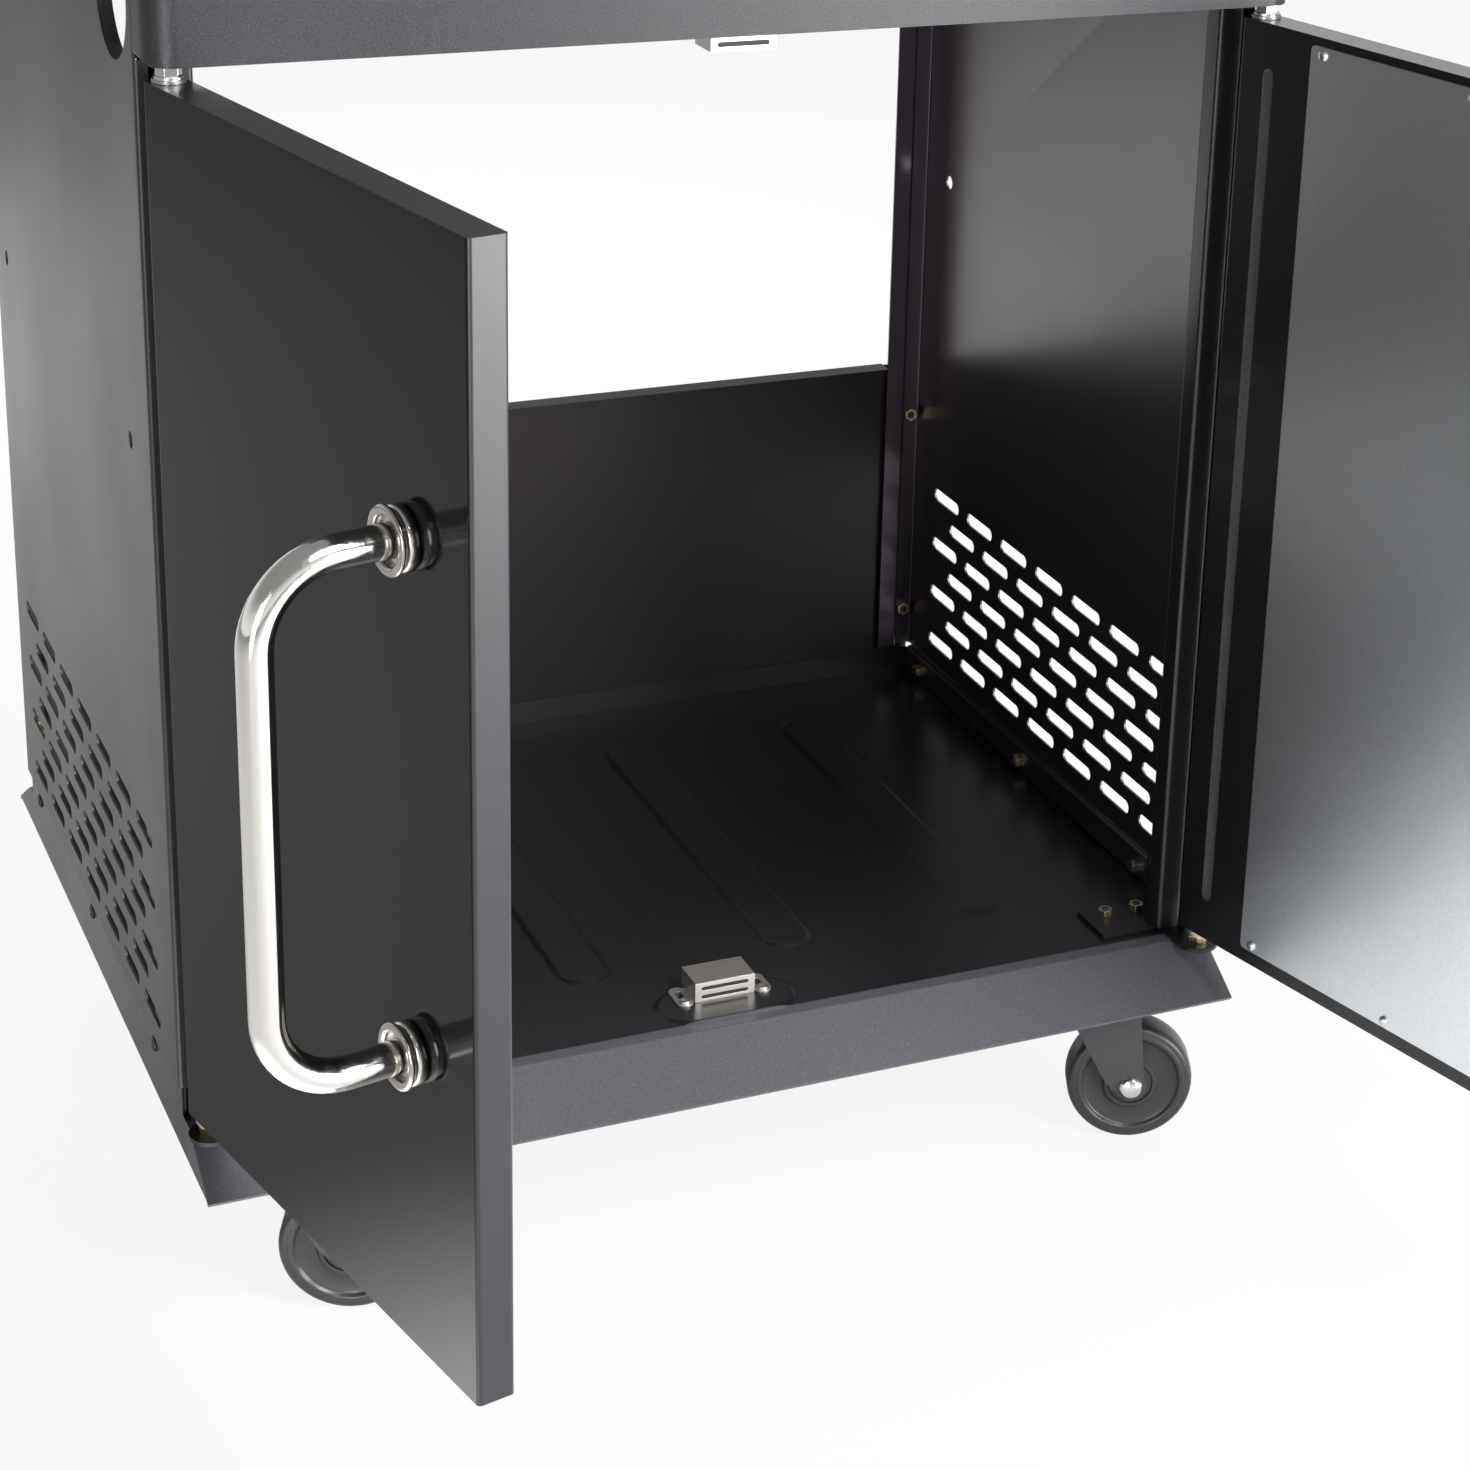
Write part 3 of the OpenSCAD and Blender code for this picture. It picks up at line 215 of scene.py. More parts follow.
COLOR, NUMBER, VECTOR = "NodeSocketColor", "NodeSocketFloat", "NodeSocketVector"

# %% Powder coat group
powder, p_in, p_out = new_group(
    "powder_coat",
    [("Paint", COLOR, (0.1, 0.1, 0.1, 1)), ("Speck", COLOR, (0.15, 0.15, 0.15, 1)),
     ("Speckle", NUMBER, 0.2), ("Gloss", NUMBER, 0.4), ("Grain", NUMBER, 700.0)],
    [("Color", COLOR), ("Roughness", NUMBER), ("Height", NUMBER)],
)
place = add(powder, "ShaderNodeTexCoord")
grain = add(powder, "ShaderNodeTexNoise", {"Detail": 3.0, "Roughness": 0.6})
powder.links.new(place.outputs["Object"], grain.inputs["Vector"])
powder.links.new(p_in.outputs["Grain"], grain.inputs["Scale"])
cloud = add(powder, "ShaderNodeTexNoise", {"Scale": 5.0, "Detail": 2.0})
powder.links.new(place.outputs["Object"], cloud.inputs["Vector"])
fleck = add(powder, "ShaderNodeMapRange", {"From Min": 0.52, "From Max": 0.72, "To Min": 0.0, "To Max": 1.0})
powder.links.new(grain.outputs["Fac"], fleck.inputs["Value"])
fleck_part = add(powder, "ShaderNodeMath", operation="MULTIPLY")
powder.links.new(fleck.outputs["Result"], fleck_part.inputs[0])
powder.links.new(p_in.outputs["Speckle"], fleck_part.inputs[1])
paint_mix = add(powder, "ShaderNodeMix", data_type="RGBA")
powder.links.new(fleck_part.outputs[0], paint_mix.inputs["Factor"])
powder.links.new(p_in.outputs["Paint"], paint_mix.inputs["A"])
powder.links.new(p_in.outputs["Speck"], paint_mix.inputs["B"])
powder.links.new(paint_mix.outputs["Result"], p_out.inputs["Color"])
gloss_shift = add(powder, "ShaderNodeMapRange", {"From Min": 0.3, "From Max": 0.7, "To Min": -0.04, "To Max": 0.05})
powder.links.new(cloud.outputs["Fac"], gloss_shift.inputs["Value"])
gloss_sum = add(powder, "ShaderNodeMath", operation="ADD")
powder.links.new(p_in.outputs["Gloss"], gloss_sum.inputs[0])
powder.links.new(gloss_shift.outputs["Result"], gloss_sum.inputs[1])
powder.links.new(gloss_sum.outputs[0], p_out.inputs["Roughness"])
powder.links.new(grain.outputs["Fac"], p_out.inputs["Height"])
print("group", powder.name, len(powder.nodes), "nodes")

# %% Rolled steel group
rolled, r_in, r_out = new_group(
    "rolled_steel",
    [("Steel", COLOR, (0.6, 0.6, 0.6, 1)), ("Dark", COLOR, (0.5, 0.5, 0.5, 1)), ("Gloss", NUMBER, 0.3),
     ("Stretch", VECTOR, (4.0, 500.0, 500.0))],
    [("Color", COLOR), ("Roughness", NUMBER), ("Height", NUMBER)],
)
place = add(rolled, "ShaderNodeTexCoord")
stretch = add(rolled, "ShaderNodeVectorMath", operation="MULTIPLY")
rolled.links.new(place.outputs["Object"], stretch.inputs[0])
rolled.links.new(r_in.outputs["Stretch"], stretch.inputs[1])
line = add(rolled, "ShaderNodeTexNoise", {"Scale": 1.0, "Detail": 4.0, "Roughness": 0.65})
rolled.links.new(stretch.outputs[0], line.inputs["Vector"])
steel_mix = add(rolled, "ShaderNodeMix", data_type="RGBA")
rolled.links.new(line.outputs["Fac"], steel_mix.inputs["Factor"])
rolled.links.new(r_in.outputs["Steel"], steel_mix.inputs["A"])
rolled.links.new(r_in.outputs["Dark"], steel_mix.inputs["B"])
rolled.links.new(steel_mix.outputs["Result"], r_out.inputs["Color"])
line_gloss = add(rolled, "ShaderNodeMapRange", {"From Min": 0.3, "From Max": 0.7, "To Min": -0.06, "To Max": 0.08})
rolled.links.new(line.outputs["Fac"], line_gloss.inputs["Value"])
line_sum = add(rolled, "ShaderNodeMath", operation="ADD")
rolled.links.new(r_in.outputs["Gloss"], line_sum.inputs[0])
rolled.links.new(line_gloss.outputs["Result"], line_sum.inputs[1])
rolled.links.new(line_sum.outputs[0], r_out.inputs["Roughness"])
rolled.links.new(line.outputs["Fac"], r_out.inputs["Height"])
print("group", rolled.name, len(rolled.nodes), "nodes")

# %% Zinc sheet group
zinc, z_in, z_out = new_group(
    "zinc_sheet",
    [("Zinc", COLOR, (0.5, 0.52, 0.54, 1)), ("Crystal", COLOR, (0.62, 0.64, 0.66, 1)), ("Gloss", NUMBER, 0.35),
     ("Size", NUMBER, 90.0)],
    [("Color", COLOR), ("Roughness", NUMBER), ("Height", NUMBER)],
)
place = add(zinc, "ShaderNodeTexCoord")
patch = add(zinc, "ShaderNodeTexVoronoi", {"Randomness": 1.0})
zinc.links.new(place.outputs["Object"], patch.inputs["Vector"])
zinc.links.new(z_in.outputs["Size"], patch.inputs["Scale"])
patch_split = add(zinc, "ShaderNodeSeparateColor")
zinc.links.new(patch.outputs["Color"], patch_split.inputs["Color"])
haze = add(zinc, "ShaderNodeTexNoise", {"Scale": 12.0, "Detail": 4.0})
zinc.links.new(place.outputs["Object"], haze.inputs["Vector"])
patch_mix = add(zinc, "ShaderNodeMath", operation="MULTIPLY")
zinc.links.new(patch_split.outputs["Red"], patch_mix.inputs[0])
zinc.links.new(haze.outputs["Fac"], patch_mix.inputs[1])
zinc_mix = add(zinc, "ShaderNodeMix", data_type="RGBA")
zinc.links.new(patch_mix.outputs[0], zinc_mix.inputs["Factor"])
zinc.links.new(z_in.outputs["Zinc"], zinc_mix.inputs["A"])
zinc.links.new(z_in.outputs["Crystal"], zinc_mix.inputs["B"])
zinc.links.new(zinc_mix.outputs["Result"], z_out.inputs["Color"])
zinc_gloss = add(zinc, "ShaderNodeMapRange", {"From Min": 0.0, "From Max": 1.0, "To Min": -0.02, "To Max": 0.03})
zinc.links.new(patch_split.outputs["Green"], zinc_gloss.inputs["Value"])
zinc_sum = add(zinc, "ShaderNodeMath", operation="ADD")
zinc.links.new(z_in.outputs["Gloss"], zinc_sum.inputs[0])
zinc.links.new(zinc_gloss.outputs["Result"], zinc_sum.inputs[1])
zinc.links.new(zinc_sum.outputs[0], z_out.inputs["Roughness"])
zinc.links.new(haze.outputs["Fac"], z_out.inputs["Height"])
print("group", zinc.name, len(zinc.nodes), "nodes")

# %% [markdown]
# ## Finishes
#
# A finish is a material that places one group, sends its colour and gloss to
# the shader and its height to a Bump node. What stays the same all over a
# surface, such as how metallic it is, is set on the shader itself.

# %% Finish maker
def finish(name, group, values, metallic=0.0, bump=0.1, reach=0.0002, coat=0.0, specular=0.5,
           coat_gloss=0.22, tint=(1.0, 1.0, 1.0)):
    material = bpy.data.materials.new(name)
    material.use_nodes = True
    tree = material.node_tree
    shader = tree.nodes["Principled BSDF"]
    effect = tree.nodes.new("ShaderNodeGroup")
    effect.node_tree = group
    for key, value in values.items():
        effect.inputs[key].default_value = value
    tree.links.new(effect.outputs["Color"], shader.inputs["Base Color"])
    tree.links.new(effect.outputs["Roughness"], shader.inputs["Roughness"])
    relief = tree.nodes.new("ShaderNodeBump")
    relief.inputs["Strength"].default_value = bump
    relief.inputs["Distance"].default_value = reach
    tree.links.new(effect.outputs["Height"], relief.inputs["Height"])
    tree.links.new(relief.outputs["Normal"], shader.inputs["Normal"])
    shader.inputs["Metallic"].default_value = metallic
    shader.inputs["Specular IOR Level"].default_value = specular
    shader.inputs["Coat Weight"].default_value = coat
    shader.inputs["Coat Roughness"].default_value = coat_gloss
    shader.inputs["Specular Tint"].default_value = (*tint, 1)
    return material


def paint(name, rgb, gloss=0.38, speckle=0.15, speck=None, grain=700.0, bump=0.12, **more):
    bright = speck or tuple(min(1.0, c * 1.7) for c in rgb)
    return finish(name, powder, {"Paint": (*rgb, 1), "Speck": (*bright, 1), "Speckle": speckle,
                                 "Gloss": gloss, "Grain": grain}, bump=bump, **more)


def steel(name, rgb, gloss=0.3, stretch=(4.0, 500.0, 500.0), bump=0.05, **more):
    return finish(name, rolled, {"Steel": (*rgb, 1), "Dark": (*(c * 0.86 for c in rgb), 1), "Gloss": gloss,
                                 "Stretch": stretch}, metallic=1.0, bump=bump, **more)


def galvanised(name, rgb, gloss=0.35, size=90.0, bump=0.04, **more):
    dull, bright = (*(c * 0.94 for c in rgb), 1), (*(min(1.0, c * 1.1) for c in rgb), 1)
    return finish(name, zinc, {"Zinc": dull, "Crystal": bright, "Gloss": gloss, "Size": size},
                  metallic=1.0, bump=bump, **more)


# %% Paints
paints = {
    "panel_left_paint": paint("panel_left_paint", (0.031, 0.027, 0.025), gloss=0.38, coat=0.10),
    "panel_right_paint": paint("panel_right_paint", (0.013, 0.010, 0.014), gloss=0.34, speckle=0.1, coat=0.38,
                               specular=0.8, tint=(1.0, 0.82, 0.98)),
    "rear_paint": paint("rear_paint", (0.008, 0.0065, 0.009), gloss=0.40, specular=0.4, tint=(1.0, 0.9, 0.98)),
    "post_paint": paint("post_paint", (0.010, 0.010, 0.011), gloss=0.3, speckle=0.1),
    "fascia_paint": paint("fascia_paint", (0.017, 0.0155, 0.020), gloss=0.38, speckle=0.6,
                          speck=(0.085, 0.08, 0.1), grain=1000.0, bump=0.3),
    "tray_paint": paint("tray_paint", (0.009, 0.008, 0.010), gloss=0.29, bump=0.05, specular=0.5),
    "frame_paint": paint("frame_paint", (0.010, 0.009, 0.011), gloss=0.28, specular=0.35),
    "door_left_paint": paint("door_left_paint", (0.0094, 0.0080, 0.0077), gloss=0.10, speckle=0.05, bump=0.015,
                             specular=0.11, coat_gloss=0.3, tint=(1.0, 0.91, 0.89)),
    "door_right_paint": paint("door_right_paint", (0.0094, 0.0080, 0.0077), gloss=0.10, speckle=0.05, bump=0.015,
                              specular=0.12, coat_gloss=0.3, tint=(1.0, 0.91, 0.89)),
    # Much paler paint on the pressed bead: a painted highlight for the shine of its hollow.
    "bead_painted_highlight": paint("bead_painted_highlight", (0.10, 0.098, 0.10), gloss=0.20, speckle=0.05, bump=0.015, coat=0.8),
    "screw_black": paint("screw_black", (0.04, 0.038, 0.04), gloss=0.3, speckle=0.0),
    "caster_steel": paint("caster_steel", (0.05, 0.05, 0.055), gloss=0.4),
    "fork_paint": paint("fork_paint", (0.045, 0.044, 0.05), gloss=0.30, bump=0.06),
    "wheel_plastic": paint("wheel_plastic", (0.030, 0.030, 0.033), gloss=0.30, speckle=0.1, grain=300.0, bump=0.06),
    "magnet_dark": paint("magnet_dark", (0.016, 0.016, 0.018), gloss=0.5, speckle=0.0),
    "drain_plastic": paint("drain_plastic", (0.03, 0.03, 0.032), gloss=0.4, speckle=0.0),
}
print("paints", len(paints))

# %% Metals
metals = {
    "liner_zinc": galvanised("liner_zinc", (0.80, 0.84, 0.87), gloss=0.30, size=900.0, bump=0.0),
    "bush_steel": steel("bush_steel", (0.42, 0.42, 0.44), gloss=0.35),
    "small_screw_steel": galvanised("small_screw_steel", (0.7, 0.71, 0.72), gloss=0.25),
    "handle_stainless": steel("handle_stainless", (0.78, 0.76, 0.73), gloss=0.12,
                              stretch=(300.0, 300.0, 6.0), bump=0.02),
    "handle_base_stainless": steel("handle_base_stainless", (0.66, 0.64, 0.61), gloss=0.16, bump=0.02),
    "handle_ring_stainless": steel("handle_ring_stainless", (0.42, 0.40, 0.375), gloss=0.16, bump=0.02),
    "pin_steel": steel("pin_steel", (0.68, 0.68, 0.69), gloss=0.2),
    "washer_brass": steel("washer_brass", (0.62, 0.47, 0.22), gloss=0.28),
    "nut_zinc": steel("nut_zinc", (0.80, 0.67, 0.40), gloss=0.22),
    "catch_stainless": steel("catch_stainless", (0.72, 0.68, 0.63), gloss=0.42),
    "worktop_stainless": steel("worktop_stainless", (0.6, 0.61, 0.62), gloss=0.3),
    "bowl_stainless": steel("bowl_stainless", (0.55, 0.56, 0.57), gloss=0.26),
    "strainer_stainless": steel("strainer_stainless", (0.5, 0.5, 0.51), gloss=0.2),
    "tap_chrome": steel("tap_chrome", (0.72, 0.73, 0.74), gloss=0.1, bump=0.0),
    "shank_brass": steel("shank_brass", (0.62, 0.47, 0.22), gloss=0.3),
    "kingpin_steel": steel("kingpin_steel", (0.45, 0.45, 0.46), gloss=0.35),
    "axle_zinc": steel("axle_zinc", (0.8, 0.8, 0.81), gloss=0.16),
}
finishes = {**paints, **metals}
print("metals", len(metals))

# %% [markdown]
# Some pieces change finish from one area to the next. The skirt of the base
# tray is a coarser coat than the smooth floor inside, and it is also painted
# paler: painted light that stands in for the light the skirt catches. The
# folded lip at a door's free edge is satin and is painted lighter as well, a
# painted highlight, and only the lower hinge washers are brass. Behind its
# face a door also has a clear coat, which its bends and its folded edge show
# as a pale sheen. The material measures how far a point lies along a
# direction and mixes two values there.

# %% Change of finish at a plane
def along(tree, direction):
    place = add(tree, "ShaderNodeTexCoord")
    reach = add(tree, "ShaderNodeVectorMath", operation="DOT_PRODUCT")
    reach.inputs[1].default_value = direction
    tree.links.new(place.outputs["Object"], reach.inputs[0])
    return reach.outputs["Value"]


def switch_at(material, direction, start, end, other, both_ways=False):
    """Past the plane, the group's inputs take the values in `other`."""
    tree = material.node_tree
    effect = next(n for n in tree.nodes if n.type == "GROUP")
    distance = along(tree, direction)
    if both_ways:
        size = add(tree, "ShaderNodeMath", operation="ABSOLUTE")
        tree.links.new(distance, size.inputs[0])
        distance = size.outputs[0]
    past = add(tree, "ShaderNodeMapRange", {"From Min": start, "From Max": end})
    tree.links.new(distance, past.inputs["Value"])
    for key, value in other.items():
        colour = not isinstance(value, float)
        mix = add(tree, "ShaderNodeMix", data_type="RGBA" if colour else "FLOAT")
        if effect.inputs[key].is_linked:
            tree.links.new(effect.inputs[key].links[0].from_socket, mix.inputs["A"])
        else:
            mix.inputs["A"].default_value = effect.inputs[key].default_value
        mix.inputs["B"].default_value = (*value, 1) if colour else value
        tree.links.new(past.outputs["Result"], mix.inputs["Factor"])
        tree.links.new(mix.outputs["Result"], effect.inputs[key])


def coat_past(material, direction, start, end, weight):
    """A clear coat only past the plane, such as on the bends and the inside of a door."""
    tree = material.node_tree
    past = add(tree, "ShaderNodeMapRange", {"From Min": start, "From Max": end, "To Max": weight})
    tree.links.new(along(tree, direction), past.inputs["Value"])
    tree.links.new(past.outputs["Result"], tree.nodes["Principled BSDF"].inputs["Coat Weight"])


# %% Skirt, door lips and washers
near_skirt_y, above_floor_z = 0.2, 0.13
tray_points = [v.co for v in nodes["base_tray"].data.vertices]
floor_level = max(point.z for point in tray_points if abs(point.y) > near_skirt_y and point.z < above_floor_z)
skirt_fold = max(abs(point.y) for point in tray_points if abs(point.z - floor_level) < 0.0004)
print("tray floor at", round(floor_level, 4), "skirt folds down at", round(skirt_fold, 4))
# The skirt is painted paler than the floor inside: painted light for the light it catches, on top of its coarser
# grain.
skirt_painted_light = {"Paint": (0.078, 0.076, 0.088), "Speck": (0.17, 0.166, 0.19), "Speckle": 0.4, "Gloss": 0.36}
switch_at(finishes["tray_paint"], (0, 1, 0), skirt_fold - 0.0004, skirt_fold + 0.0006, skirt_painted_light, both_ways=True)

lip_width, lip_blend = 0.0010, 0.0001
coat_start, coat_full, coat_weight = 0.0001, 0.0004, 0.85
door_open = {"left": math.radians(78.1), "right": math.radians(103.5)}
hinges = {side: Vector(joints[side + "_door_hinge"]["pos_m"]) for side in door_open}
door_run = {"left": Vector((math.cos(door_open["left"]), -math.sin(door_open["left"]), 0)),
            "right": Vector((-math.cos(door_open["right"]), -math.sin(door_open["right"]), 0))}
for side in ("left", "right"):
    run = door_run[side]
    points = [v.co for v in nodes["door_" + side + "_skin"].data.vertices]
    free_edge = max(run.dot(point) for point in points)
    lip = free_edge - lip_width
    # The lip is painted lighter than the door face: a painted highlight, on top of its real satin gloss.
    switch_at(finishes["door_" + side + "_paint"], run, lip - lip_blend, lip + lip_blend,
              {"Paint": (0.028, 0.026, 0.032), "Speck": (0.05, 0.046, 0.058), "Gloss": 0.32})
    inward = Vector((-run.y, run.x, 0)) * (1 if side == "left" else -1)
    outer_face = min(inward.dot(point) for point in points)
    coat_past(finishes["door_" + side + "_paint"], inward, outer_face + coat_start, outer_face + coat_full,
              coat_weight)
    print(side, "door reaches", round(free_edge - run.dot(hinges[side]), 4), "from its hinge")
between_hinges = 0.45
switch_at(finishes["washer_brass"], (0, 0, 1), between_hinges, between_hinges + 0.01,
          {"Steel": (0.68, 0.68, 0.69), "Dark": (0.6, 0.6, 0.61)})

# %% Give every solid its finish
slot_of = {s["node"]: s["material_slot"] for s in frame["record"]["subparts"]}
for name, solid in nodes.items():
    solid.data.materials.clear()
    solid.data.materials.append(finishes[slot_of[name]])
print("finished solids", len(nodes))

# %% [markdown]
# ## Rounded edges on folded sheet
#
# A CAD solid has razor-sharp edges, while pressed or folded sheet catches a
# thin line of light along each edge. A CAD solid's mesh is never changed, so
# a copy takes its place: the loose triangles are merged, flat areas become
# whole faces, and a narrow bevel runs round every sharp edge.

# %% Soft-edged copy of a solid
body_of = {n: b for b, members in frame["record"]["behaviour"]["bodies"].items() for n in members}


def merged(name):
    shape = bmesh.new()
    shape.from_mesh(nodes[name].data)
    bmesh.ops.remove_doubles(shape, verts=shape.verts, dist=2e-6)
    bmesh.ops.dissolve_limit(shape, angle_limit=math.radians(0.4), verts=shape.verts, edges=shape.edges)
    return shape


def put(shape, name, body, slot, stands_for=(), smooth=35):
    mesh = bpy.data.meshes.new(name)
    shape.to_mesh(mesh)
    shape.free()
    piece = bpy.data.objects.new(name, mesh)
    scene.collection.objects.link(piece)
    mesh.materials.append(finishes[slot])
    mesh.shade_smooth()
    mesh.set_sharp_from_angle(angle=math.radians(smooth))
    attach(piece, body)
    if stands_for:
        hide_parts(*stands_for)
    return piece


def rounded_folds(shape, width, low, high, keep=lambda edge: True, segments=3):
    """Round the folds whose angle lies between low and high, before the fine rim goes on."""
    folds = [e for e in shape.edges if e.is_manifold and low < math.degrees(e.calc_face_angle(0)) < high and keep(e)]
    bmesh.ops.bevel(shape, geom=folds, offset=width, offset_type="OFFSET", segments=segments, profile=0.5,
                    affect="EDGES", material=-1, clamp_overlap=True)
    return len(folds)


def soft_edged(name, width, shape=None):
    piece = put(shape or merged(name), name + "_shown", body_of[name], slot_of[name], [name])
    rim = piece.modifiers.new("rim", "BEVEL")
    rim.width = width
    rim.segments = 2
    rim.limit_method = "ANGLE"
    rim.angle_limit = math.radians(38)
    rim.harden_normals = False
    rim.use_clamp_overlap = True
    level = piece.modifiers.new("level", "WEIGHTED_NORMAL")
    level.keep_sharp = True
    return piece


# %% Soften the folded pieces
for name, width in {
    "fascia": 0.0005, "worktop": 0.0006, "rear_panel": 0.0004, "magnetic_catches": 0.0003,
}.items():
    piece = soft_edged(name, width)
    print(piece.name, len(piece.data.polygons), "faces")

# %% [markdown]
# The base tray and the door pans get rounder folds first. On the tray these
# are the shallow slopes of the pressed ribs and the fold to the skirt. On a
# door they are the bends round the outer face, which show as a thin bright
# line in the picture, and the rim of the long bead pressed into the hinge
# stile. The bead is painted much paler than the flat sheet round it: a
# painted highlight that stands in for the shine of its hollow.

# %% Round the tray's and the doors' folds
tray = merged("base_tray")
print("tray folds", rounded_folds(tray, width=0.0011, low=12, high=40))
soft_edged("base_tray", 0.0003, shape=tray)

bead_from_hinge, bead_width, bead_depth = 0.0145, 0.012, 0.0032
for side in ("left", "right"):
    name = "door_" + side + "_skin"
    pan = merged(name)
    out = Vector((door_run[side].y, -door_run[side].x, 0)) * (1 if side == "left" else -1)
    face = max(out.dot(v.co) for v in pan.verts)
    on_face = lambda e: all(out.dot(v.co) > face - 1e-5 for v in e.verts)
    bends = rounded_folds(pan, width=0.0016, low=60, high=120, keep=on_face)
    print(name, "bends", bends, "face at", round(face, 4))
    inside = min(out.dot(v.co) for v in pan.verts)
    on_inside = lambda e: all(out.dot(v.co) < inside + 1e-5 for v in e.verts)
    rims = rounded_folds(pan, width=0.0026, low=60, high=120, keep=on_inside, segments=6)
    print(name, "bead edges", rims)
    bead_at = hinges[side] + door_run[side] * bead_from_hinge
    # The bead's faces take the paler paint, a painted highlight.
    bead = [f for f in pan.faces if 0.0001 < out.dot(f.calc_center_median()) - inside < bead_depth + 0.0003
            and abs(door_run[side].dot(f.calc_center_median() - bead_at)) < bead_width / 2]
    for f in bead:
        f.material_index = 1
    print(name, "bead faces", len(bead))
    soft_edged(name, 0.0003, shape=pan).data.materials.append(finishes["bead_painted_highlight"])

# %% [markdown]
# ## Wheels
#
# A caster wheel of this kind is moulded in one piece: a flat tread with
# rounded shoulders, a raised ring near the rim of each face, a flat web, and
# a smaller ring round the hub. Its section is drawn once as a line of points
# and spun round the axle.

# %% Wheel size
corners = ("fl", "fr", "rl", "rr")
wheel_low, wheel_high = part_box("wheel_fl")
wheel_radius = (wheel_high.z - wheel_low.z) / 2
print("wheel radius", round(wheel_radius, 5))

# %% Wheel section and spin
hub_bore = 0.00405
wheel_section = [
    (hub_bore, -0.0129), (0.0086, -0.0129), (0.0092, -0.0124), (0.0098, -0.0112), (0.0128, -0.0110),
    (0.0134, -0.0119), (0.0146, -0.0122), (0.0156, -0.0119), (0.0163, -0.0106), (0.0172, -0.0096),
    (0.0276, -0.0094), (0.0286, -0.0100), (0.0292, -0.0114), (0.0300, -0.0119), (0.0312, -0.0120),
    (0.0322, -0.0117), (0.0328, -0.0113), (0.0340, -0.0114), (0.0356, -0.0108), (0.0367, -0.0094),
    (0.0372, -0.0080), (wheel_radius, -0.0064), (wheel_radius, 0.0),
]
wheel_section += [(r, -z) for r, z in reversed(wheel_section[:-1])]


def spun(section, steps):
    shape = bmesh.new()
    rim = [shape.verts.new((r, 0, z)) for r, z in section]
    edges = [shape.edges.new((rim[i], rim[(i + 1) % len(rim)])) for i in range(len(rim))]
    bmesh.ops.spin(shape, geom=rim + edges, cent=(0, 0, 0), axis=(0, 0, 1), angle=math.tau,
                   steps=steps, use_merge=True, use_duplicate=False)
    bmesh.ops.remove_doubles(shape, verts=shape.verts, dist=1e-6)
    bmesh.ops.recalc_face_normals(shape, faces=shape.faces)
    return shape


def caster_wheel(corner):
    joint = joints["roll_" + corner]
    shape = spun(wheel_section, steps=128)
    axle = Vector(joint["axis"]).normalized()
    turn = Vector((0, 0, 1)).rotation_difference(axle).to_matrix().to_4x4()
    bmesh.ops.transform(shape, matrix=Matrix.Translation(joint["pos_m"]) @ turn, verts=shape.verts)
    name = "wheel_" + corner
    return put(shape, "caster_" + name, name, "wheel_plastic", [name], smooth=40)


for corner in corners:
    piece = caster_wheel(corner)
    print(piece.name, len(piece.data.polygons), "faces")

# %% [markdown]
# ## Bow handles
#
# Each handle is one polished stainless tube, bent twice. A ring of points is
# drawn out along the first leg, spun round each bend and drawn out again, so
# the tube keeps its thickness all the way.

# %% Where each door stands
def door_place(side, turn):
    """A place measured on the closed door, from its hinge, moved to where the door stands."""
    return Matrix.Translation((hinges[side].x, hinges[side].y, 0)) @ Matrix.Rotation(turn, 4, "Z")


at_door = {"left": door_place("left", -door_open["left"]),
           "right": door_place("right", door_open["right"]) @ Matrix.Scale(-1, 4, (1, 0, 0))}
handle_from_hinge = {"left": 0.240, "right": 0.230}
print("doors hang at", *(tuple(round(c, 4) for c in hinges[side]) for side in at_door))

# %% Handle tube
tube_radius, leg_length, bend_radius = 0.008, 0.032, 0.038
upper_leg, lower_leg = 0.536, 0.290
door_face = -0.0095
quarter, bend_steps = math.radians(90), 14


def draw_out(shape, ring, step):
    made = bmesh.ops.extrude_edge_only(shape, edges=ring)["geom"]
    bmesh.ops.translate(shape, vec=step, verts=[g for g in made if isinstance(g, bmesh.types.BMVert)])
    return [g for g in made if isinstance(g, bmesh.types.BMEdge)]


def bend(shape, ring, centre, axis, angle, steps):
    made = bmesh.ops.spin(shape, geom=ring, cent=centre, axis=axis, angle=angle, steps=steps,
                          use_merge=False, use_duplicate=False)["geom_last"]
    return [g for g in made if isinstance(g, bmesh.types.BMEdge)]


def handle_tube(side, x, place):
    shape = bmesh.new()
    turn = Matrix.Translation((x, door_face, upper_leg)) @ Matrix.Rotation(quarter, 4, "X")
    bmesh.ops.create_circle(shape, cap_ends=True, radius=tube_radius, segments=48, matrix=turn)
    ring = draw_out(shape, list(shape.edges), (0, -leg_length, 0))
    bend_y = door_face - leg_length
    ring = bend(shape, ring, (x, bend_y, upper_leg - bend_radius), (1, 0, 0), quarter, bend_steps)
    ring = draw_out(shape, ring, (0, 0, lower_leg - upper_leg + 2 * bend_radius))
    ring = bend(shape, ring, (x, bend_y, lower_leg + bend_radius), (1, 0, 0), quarter, bend_steps)
    ring = draw_out(shape, ring, (0, leg_length, 0))
    bmesh.ops.edgeloop_fill(shape, edges=ring)
    bmesh.ops.transform(shape, matrix=place, verts=shape.verts)
    bmesh.ops.recalc_face_normals(shape, faces=shape.faces)
    return put(shape, "bow_handle_" + side, "door_" + side, "handle_stainless", ["handle_" + side], smooth=50)


